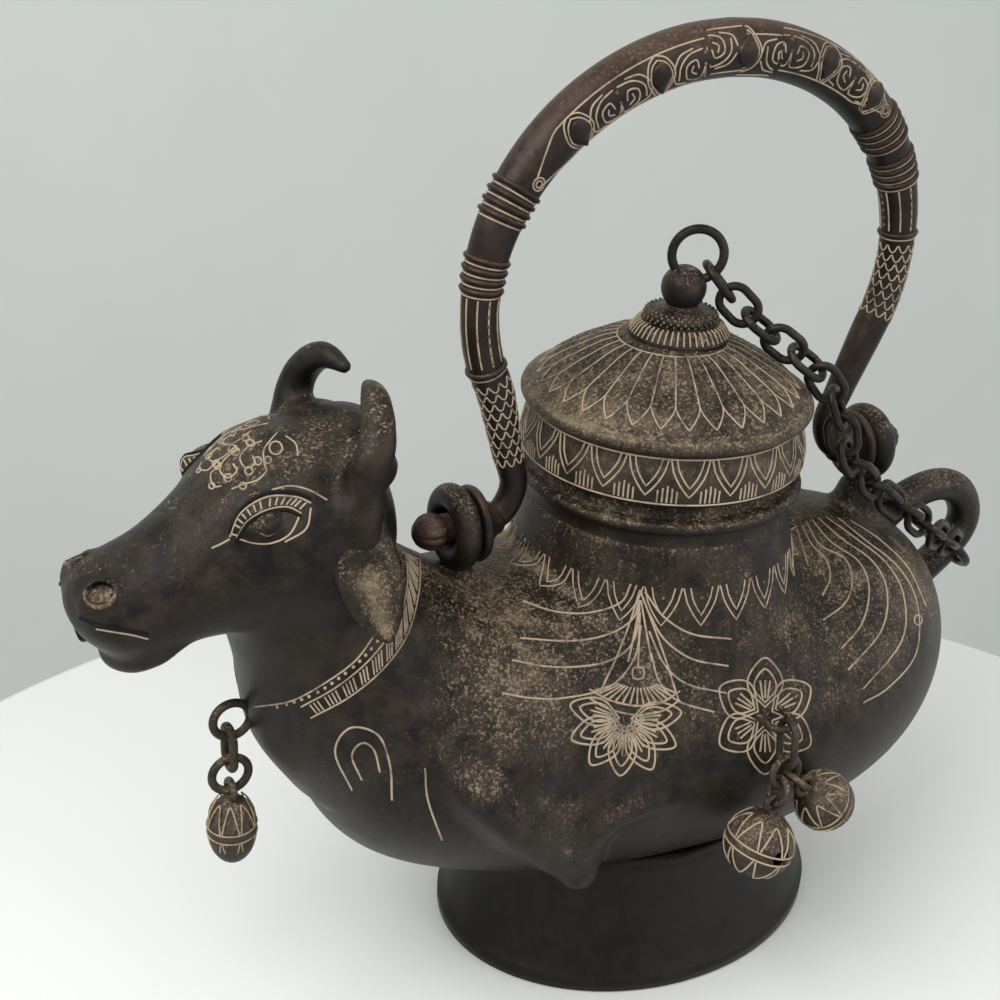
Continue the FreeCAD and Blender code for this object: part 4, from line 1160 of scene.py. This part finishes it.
engraved("cushion_ticks", collar_ticks, 0.24, line_dust, "lid", "lid_bronze")
grains = [lid_place(r, z, t + shift, finial_x) for r, z,
          shift in ((9.6, 191.6, 0.0), (9.95, 192.5, 0.1), (9.5, 193.4, 0.0), (8.8, 193.9, 0.1))
          for t in np.linspace(0, 2 * math.pi, 33)[:-1]]
dotted("cushion_grains", grains, 0.40, soft_dust, "lid", "lid_bronze")

# %% [markdown]
# The bail is a round bar that thickens towards its crown. Its ornament is laid out along the
# bar: a rubbed band on top, drops and scrolls on the sides, bands of rings, then fluting and
# punched scales. One function gives the centre, the direction and the radius at any length.


# %% Path of the bail
bail_x, hinge_z, bud_root = 3.5, 141.8, 74.6
arch_r, arch_rise, arch_z, arch_shift = 68.0, 59.6, 202.2, 1.8
leg_r, crown_swell, journal_r, leg_foot = 4.8, 2.4, 3.7, 53.8


def bail_rows(side):
    rows = []
    for degrees in (90, 81, 72, 63, 54, 45, 36, 27, 18, 9, 0, -8, -16, -24):
        turn = math.radians(degrees)
        rows.append((side * arch_shift + arch_r * math.cos(turn), arch_z + arch_rise * math.sin(turn),
                     leg_r + crown_swell * max(0.0, math.sin(turn))))
    fall = rows[-1][1] - hinge_z
    rows += [(leg_foot + (rows[-1][0] - leg_foot) * 0.30, hinge_z + fall * 0.52, leg_r
              - (leg_r - journal_r) * 0.7),
             (leg_foot - 0.34, hinge_z + fall * 0.25, journal_r),
             (leg_foot + 3.4, hinge_z + fall * 0.04, journal_r),
             (leg_foot + 10.5, hinge_z, journal_r)]
    rows = softly([(bail_x + side * x, z, r) for x, z, r in rows], 10)
    lengths = np.concatenate([[0.0], np.cumsum(np.hypot(np.diff(rows[:, 0]), np.diff(rows[:, 1])))])
    return lengths, rows


bail_sides = {side: bail_rows(side) for side in (-1, 1)}


def bail_at(side, length):
    """Centre, direction, cross direction and radius of the bar at a length from the crown.
    The cross direction points up at the crown, and elsewhere to the inside of the arch."""
    lengths, rows = bail_sides[side]
    x, z, r = (np.interp(length, lengths, rows[:, k]) for k in range(3))
    x2, z2 = (np.interp(length + 0.5, lengths, rows[:, k]) for k in range(2))
    x1, z1 = (np.interp(length - 0.5, lengths, rows[:, k]) for k in range(2))
    way = np.array([x2 - x1, 0.0, z2 - z1])
    way /= np.linalg.norm(way)
    cross = np.array([way[2], 0.0, -way[0]]) * side
    return np.array([x, 0.0, z]), way, -cross if cross[2] < -0.99 else cross, r


def on_bail(side, length, turn, lift=0.0):
    """Place on the bar; turn counts from the cross direction towards the near side."""
    centre, way, cross, r = bail_at(side, length)
    outwards = cross * math.cos(turn) + np.array([0.0, -1.0, 0.0]) * math.sin(turn)
    return tuple(places([centre + outwards * (r + lift)])[0])


def bail_line(side, pairs, lift=0.0):
    """Line on the bar through pairs of length and turn."""
    return np.array([on_bail(side, length, turn, lift) for length, turn in pairs])


bail_lines, bail_dots, bail_rings = [], [], []

# %% Rings, fluting, scales and borders on the bail
# Lengths count from the crown along the bar, for the front leg (-1) and the rear leg (1).
around_bar = np.linspace(0, 2 * math.pi, 25)
ring_places = {-1: [69.8, 72.3, 74.8, 77.3, 88.2, 90.7, 93.2, 95.7, 117.0],
               1: [56.8, 59.3, 61.8, 64.3, 70.6, 73.1, 75.6, 78.1, 94.6]}
scale_spans = {-1: (120.0, 146.0), 1: (97.5, 120.0)}
flute_spans = {-1: (97.5, 115.0), 1: (79.8, 93.0)}
panel_ends = {-1: 68.0, 1: 54.8}
face_turn = {-1: 1.40, 1: 1.72}
borders = {-1: (0.62, 2.25), 1: (0.95, 2.55)}
for side in (-1, 1):
    for length in ring_places[side]:
        bail_rings.append(bail_line(side, [(length, t) for t in around_bar], 0.05))
        bail_lines.append(bail_line(side, [(length + 1.25, t) for t in around_bar]))
    start, end = flute_spans[side]
    for k in range(10):
        turn = 2 * math.pi * (k + 0.5) / 10
        bail_lines.append(bail_line(side, [(s, turn) for s in np.linspace(start, end, 8)]))
    for s in np.arange(start + 1.5, end - 0.5, 2.5):
        bail_dots += [on_bail(side, s, t) for t in (math.pi / 2, -math.pi / 2, 0.0)]
    start, end = scale_spans[side]
    for row, s in enumerate(np.arange(start, end, 2.9)):
        for k in range(10):
            middle_turn = 2 * math.pi * (k + 0.5 * (row % 2)) / 10
            scale = [(s + 2.3 * math.cos(a) ** 2, middle_turn + 0.29 * math.sin(a))
                     for a in np.linspace(-1.45, 1.45, 7)]
            bail_lines.append(bail_line(side, scale))
    for flank in (-1, 1):
        stops = np.linspace(0.0, panel_ends[side] - 2.0, 40)
        closing = 0.75 * np.clip((stops - panel_ends[side] + 13.0) / 11.0, 0.0, 1.0)
        for border in borders[side]:
            turns = border + (face_turn[side] - border) * closing
            bail_lines.append(bail_line(side, zip(stops, flank * turns)))
engraved("bail_rings", bail_rings, 0.75, handle_bronze, "bail", "handle_bronze")

# %% Bar of the bail
def about_x(outline, start, side, count=48):
    """Closed form turned about the journals' line; outline gives how far inwards and how thick."""
    cos, sin = round_turn(count)
    return rings([np.column_stack([np.full(count, start - side * u), cos * r, hinge_z + sin * r])
                  for u, r in outline])


bar_rows = []
for side in (-1, 1):
    lengths, rows = bail_sides[side]
    stops = np.append(np.arange(0.0 if side > 0 else 1.5, lengths[-1] - 1.0, 1.5), lengths[-1])
    sampled = np.column_stack([np.interp(stops, lengths, rows[:, k]) for k in range(3)])
    bar_rows = sampled[::-1] if side < 0 else np.vstack([bar_rows, sampled])
bar = rod([(x, 0, z) for x, z, r in bar_rows], bar_rows[:, 2], 36, (0, 1, 0), 1)
journal = [(0.0, 4.1), (7.9, 4.1), (7.95, 9.4), (8.3, 10.2), (9.3, 10.45), (10.3, 10.1), (10.7, 9.2),
           (10.9, 7.6), (12.6, 6.0), (15.4, 4.6), (17.0, 3.9)]
bail_forms = [bar] + [about_x(journal, bail_x + side * bud_root, side) for side in (-1, 1)]
bail_verts, bail_faces = merged(bail_forms)
bail = settle(piece("bail_bar", places(bail_verts), bail_faces, handle_bronze))
belongs(bail, "bail", "handle_bronze", "bail_handle")

# %% Drops and scrolls on the bail
drop_places = [(-1, 50.5), (-1, 25.5), (1, 0.5), (1, 27.5), (1, 47.0)]
scroll_places = [(-1, 38.0), (-1, 12.5), (1, 14.0), (1, 37.5)]
leaf_half = [(1.0, 0.0), (0.72, 0.62), (0.1, 0.98), (-0.45, 0.66), (-1.05, 0.0)]
leaf_loop = leaf_half + [(u, -v) for u, v in leaf_half[-2::-1]]
scroll_curls = ([(-0.5, 0.0), (-4.0, 1.0), (-3.0, 5.0), (0.5, 5.6), (1.6, 2.8), (-0.6, 1.9)],
                [(3.8, 0.6), (3.2, 4.6), (0.9, 7.4), (-2.6, 7.8)], [(4.4, 3.2), (3.6, 7.0), (1.0, 9.3)],
                [(-4.4, 5.0), (-3.4, 8.4), (-0.6, 9.6)], [(-2.2, 2.4), (-1.2, 4.0), (0.4, 3.6)])
scroll_dots = ((0.0, 0.0), (0.4, 0.0), (-0.4, 0.0), (0.0, 10.6), (0.0, -10.6))
bail_drops = []
for side, length in drop_places:
    centre, way, cross, r = bail_at(side, length)
    facing = face_turn[side] if length > 1.0 else 1.5
    low, high = borders[side] if length > 1.0 else (0.62, 2.35)
    for flank in (-1, 1):
        at = Vector(on_bail(side, length, flank * facing, -0.25))
        normal = Vector(tuple(cross * math.cos(facing) + np.array([0, -1.0, 0]) * math.sin(facing) * flank))
        bail_drops.append(drop_form(at, normal, Vector(tuple(cross)), 4.2, 2.8, 1.2, 0.75))
        for grow in (1.0, 1.28):
            loop = softly([(facing - 4.7 * grow * u / r, 3.2 * grow * v) for u, v in leaf_loop], 4)
            loop[:, 0] = 2 * facing - loop[:, 0]
            loop[:, 0] = np.clip(loop[:, 0], low, high) * flank
            bail_lines.append(bail_line(side, [(length + v, t) for t, v in loop]))
for side, length in scroll_places:
    r = bail_at(side, length)[3]
    low, high = borders[side][0] + 0.04, borders[side][1] - 0.04
    for flank in (-1, 1):
        for hand in (-1, 1):
            for curl in scroll_curls:
                rows = softly([(face_turn[side] + u / r, hand * v) for u, v in curl], 4)
                rows[:, 0] = np.clip(rows[:, 0], low, high) * flank
                bail_lines.append(bail_line(side, [(length + v, t) for t, v in rows]))
        bail_dots += [on_bail(side, length + v, flank * (face_turn[side] + t)) for t, v in scroll_dots]
for side in (-1, 1):
    for flank in (-1, 1):
        for radius in (0.9, 1.7):
            eyelet = [(panel_ends[side] - 1.6 + radius * math.cos(a), face_turn[side]
                       + radius * math.sin(a) / 6.0)
                      for a in np.linspace(0, 2 * math.pi, 13)]
            bail_lines.append(bail_line(side, [(s, flank * t) for s, t in eyelet]))
drops = settle(piece("bail_drops", *merged(bail_drops), handle_bronze))
belongs(drops, "bail", "handle_bronze")
engraved("bail_lines", bail_lines, 0.24, line_dust, "bail", "handle_bronze")
dotted("bail_dots", bail_dots, 0.5, soft_dust, "bail", "handle_bronze")


# %% Ribbed buds over the journals
def bud_form(side, radius=5.05, ribs=10, long=8.5):
    start = bail_x + side * bud_root
    turn = np.linspace(0, 2 * math.pi, ribs * 8, endpoint=False)
    ribbed = 0.89 + 0.11 * np.abs(np.sin(turn * ribs / 2.0)) ** 0.7
    sections = []
    for share, wide in softly([(0.0, 0.62), (0.06, 0.86), (0.28, 1.0), (0.60, 0.93), (0.84, 0.62),
                               (0.95, 0.30), (1.0, 0.08)], 4):
        depth = ribbed if share > 0.04 else np.ones_like(turn)
        reach = radius * wide * depth
        sections.append(np.column_stack([np.full(len(turn), start + side * long * share),
                                         np.cos(turn) * reach,
                                         hinge_z + np.sin(turn) * reach]))
    return rings(sections)


for side, name in ((-1, "front"), (1, "rear")):
    verts, faces = bud_form(side)
    bud = settle(piece("bud_" + name, places(verts), faces, bud_bronze))
    belongs(bud, "bail", "handle_bronze", "bail_bud_" + name)

# %% [markdown]
# Each bell is a cast ball or egg with a band round its middle and leaves above and below it.
# The lines are worked out on the bell's own ball from its centre and its hanging direction.


# %% Bells
def bell_lines(centre, hang_degrees, radius, half_high, leaves=8):
    """Band and leaves on one bell; the bell hangs at an angle from straight down, along the body."""
    tilt = math.radians(hang_degrees)
    down = np.array([math.sin(tilt), 0.0, -math.cos(tilt)])
    first = np.array([-down[2], 0.0, down[0]])
    second = np.array([0.0, 1.0, 0.0])

    def spot(high, turn):
        r = radius * math.sqrt(max(0.0, 1 - high * high))
        return places([np.array(centre) - down * half_high * high
                       + (first * math.cos(turn) + second * math.sin(turn)) * r])[0]

    lines = [np.array([spot(h, t) for t in np.linspace(0, 2 * math.pi, 33)]) for h in (-0.12, 0.12)]
    for k in range(leaves):
        turn, half = 2 * math.pi * (k + 0.5) / leaves, math.pi / leaves
        for way in (-1, 1):
            lines.append(np.array([spot(way * (0.16 + 0.66 * (1 - abs(s) ** 2.2)), turn + half * 0.9 * s)
                                   for s in np.linspace(-1, 1, 11)]))
    return lines


engraved("breast_bell_lines", bell_lines((-130.9, 0.0, 65.4), 0.0, 6.65, 10.55), 0.24, line_dust,
         "breast_bell", "bell_bronze")
for body_name, y in (("flank_bells_left", -61.95), ("flank_bells_right", 61.95)):
    lines = bell_lines((-1.4, y, 59.6), -20.0, 9.65, 9.65)
    lines += bell_lines((20.7, y * 0.989, 66.2), 48.0, 8.45, 8.45)
    engraved(body_name + "_lines", lines, 0.28, line_dust, body_name, "bell_bronze")

# %% [markdown]
# Floor, wall and light: a round pale table with a plain pale wall behind it, a soft sky and
# one broad lamp from the upper left, so the brown metal keeps its own colour. The wall is
# clear from behind, so the vessel can be looked at from every side.


# %% Floor and wall
def plain(name, tint, rough, wave=0.0, front_only=False):
    f = Finish(name)
    at = f.node("ShaderNodeTexCoord", {}, {}, 3)
    cloud = f.noise(at, 6.0, 6.0, 0.6)
    shade = f.mixed(cloud * wave, tint, colour(tint[0] * 0.72, tint[1] * 0.75, tint[2] * 0.77))
    return f.surface({"Base Color": shade, "Roughness": rough}, front_only)


table_x, table_y, table_count = -40.0, -80.0, 180
table_edge = ((288.0, -14.0), (292.0, -8.0), (290.0, -2.5), (285.0, -0.05))
cos, sin = round_turn(table_count)
table_rings = [np.column_stack([table_x + cos * r, table_y + sin * r, np.full(table_count, z)])
               for r, z in table_edge]
table_v, table_f = rings(table_rings)
table = piece("table", places(table_v), table_f, plain("table_white", colour(0.83, 0.83, 0.80), 0.45))
wall_y, wall_left, wall_right, wall_low, wall_top = 420, -1500, 1700, -600, 1500
wall_v = places([(wall_left, wall_y, wall_low), (wall_right, wall_y, wall_low),
                 (wall_right, wall_y, wall_top), (wall_left, wall_y, wall_top)])
wall_pale = plain("wall_pale", colour(0.585, 0.60, 0.56), 0.8, 0.5, front_only=True)
wall = piece("wall", wall_v, [(0, 1, 2, 3)], wall_pale, False)

world = bpy.data.worlds.new("sky")
bpy.context.scene.world = world
world.use_nodes = True
world.node_tree.nodes["Background"].inputs[0].default_value = (0.95, 0.98, 1.0, 1.0)
world.node_tree.nodes["Background"].inputs[1].default_value = 0.75


def lamp(name, at, towards, size, watts, tint=(1, 1, 1)):
    data = bpy.data.lights.new(name, "AREA")
    data.size, data.energy, data.color = size, watts, tint
    made = bpy.data.objects.new(name, data)
    bpy.context.scene.collection.objects.link(made)
    made.location = at
    made.rotation_euler = (Vector(towards) - Vector(at)).to_track_quat("-Z", "Y").to_euler()
    return made


lamp("window", (-0.55, -0.15, 0.75), (0.0, 0.0, 0.12), 0.6, 5.5)
lamp("fill", (0.45, -0.75, 0.45), (0.0, 0.0, 0.10), 0.8, 2.5)

# %% Finishes of the solids that stay
slots = {"body_bronze": body_bronze, "foot_bronze": foot_bronze, "lid_bronze": lid_bronze,
         "handle_bronze": handle_bronze,
         "chain_bronze": chain_bronze, "bell_bronze": bell_bronze}
for entry in frame["record"]["subparts"]:
    solid = nodes[entry["node"]]
    for mark in solid.material_slots:
        mark.material = slots[entry["material_slot"]]

# %% Colour of the picture
bpy.context.scene.view_settings.view_transform = "Standard"
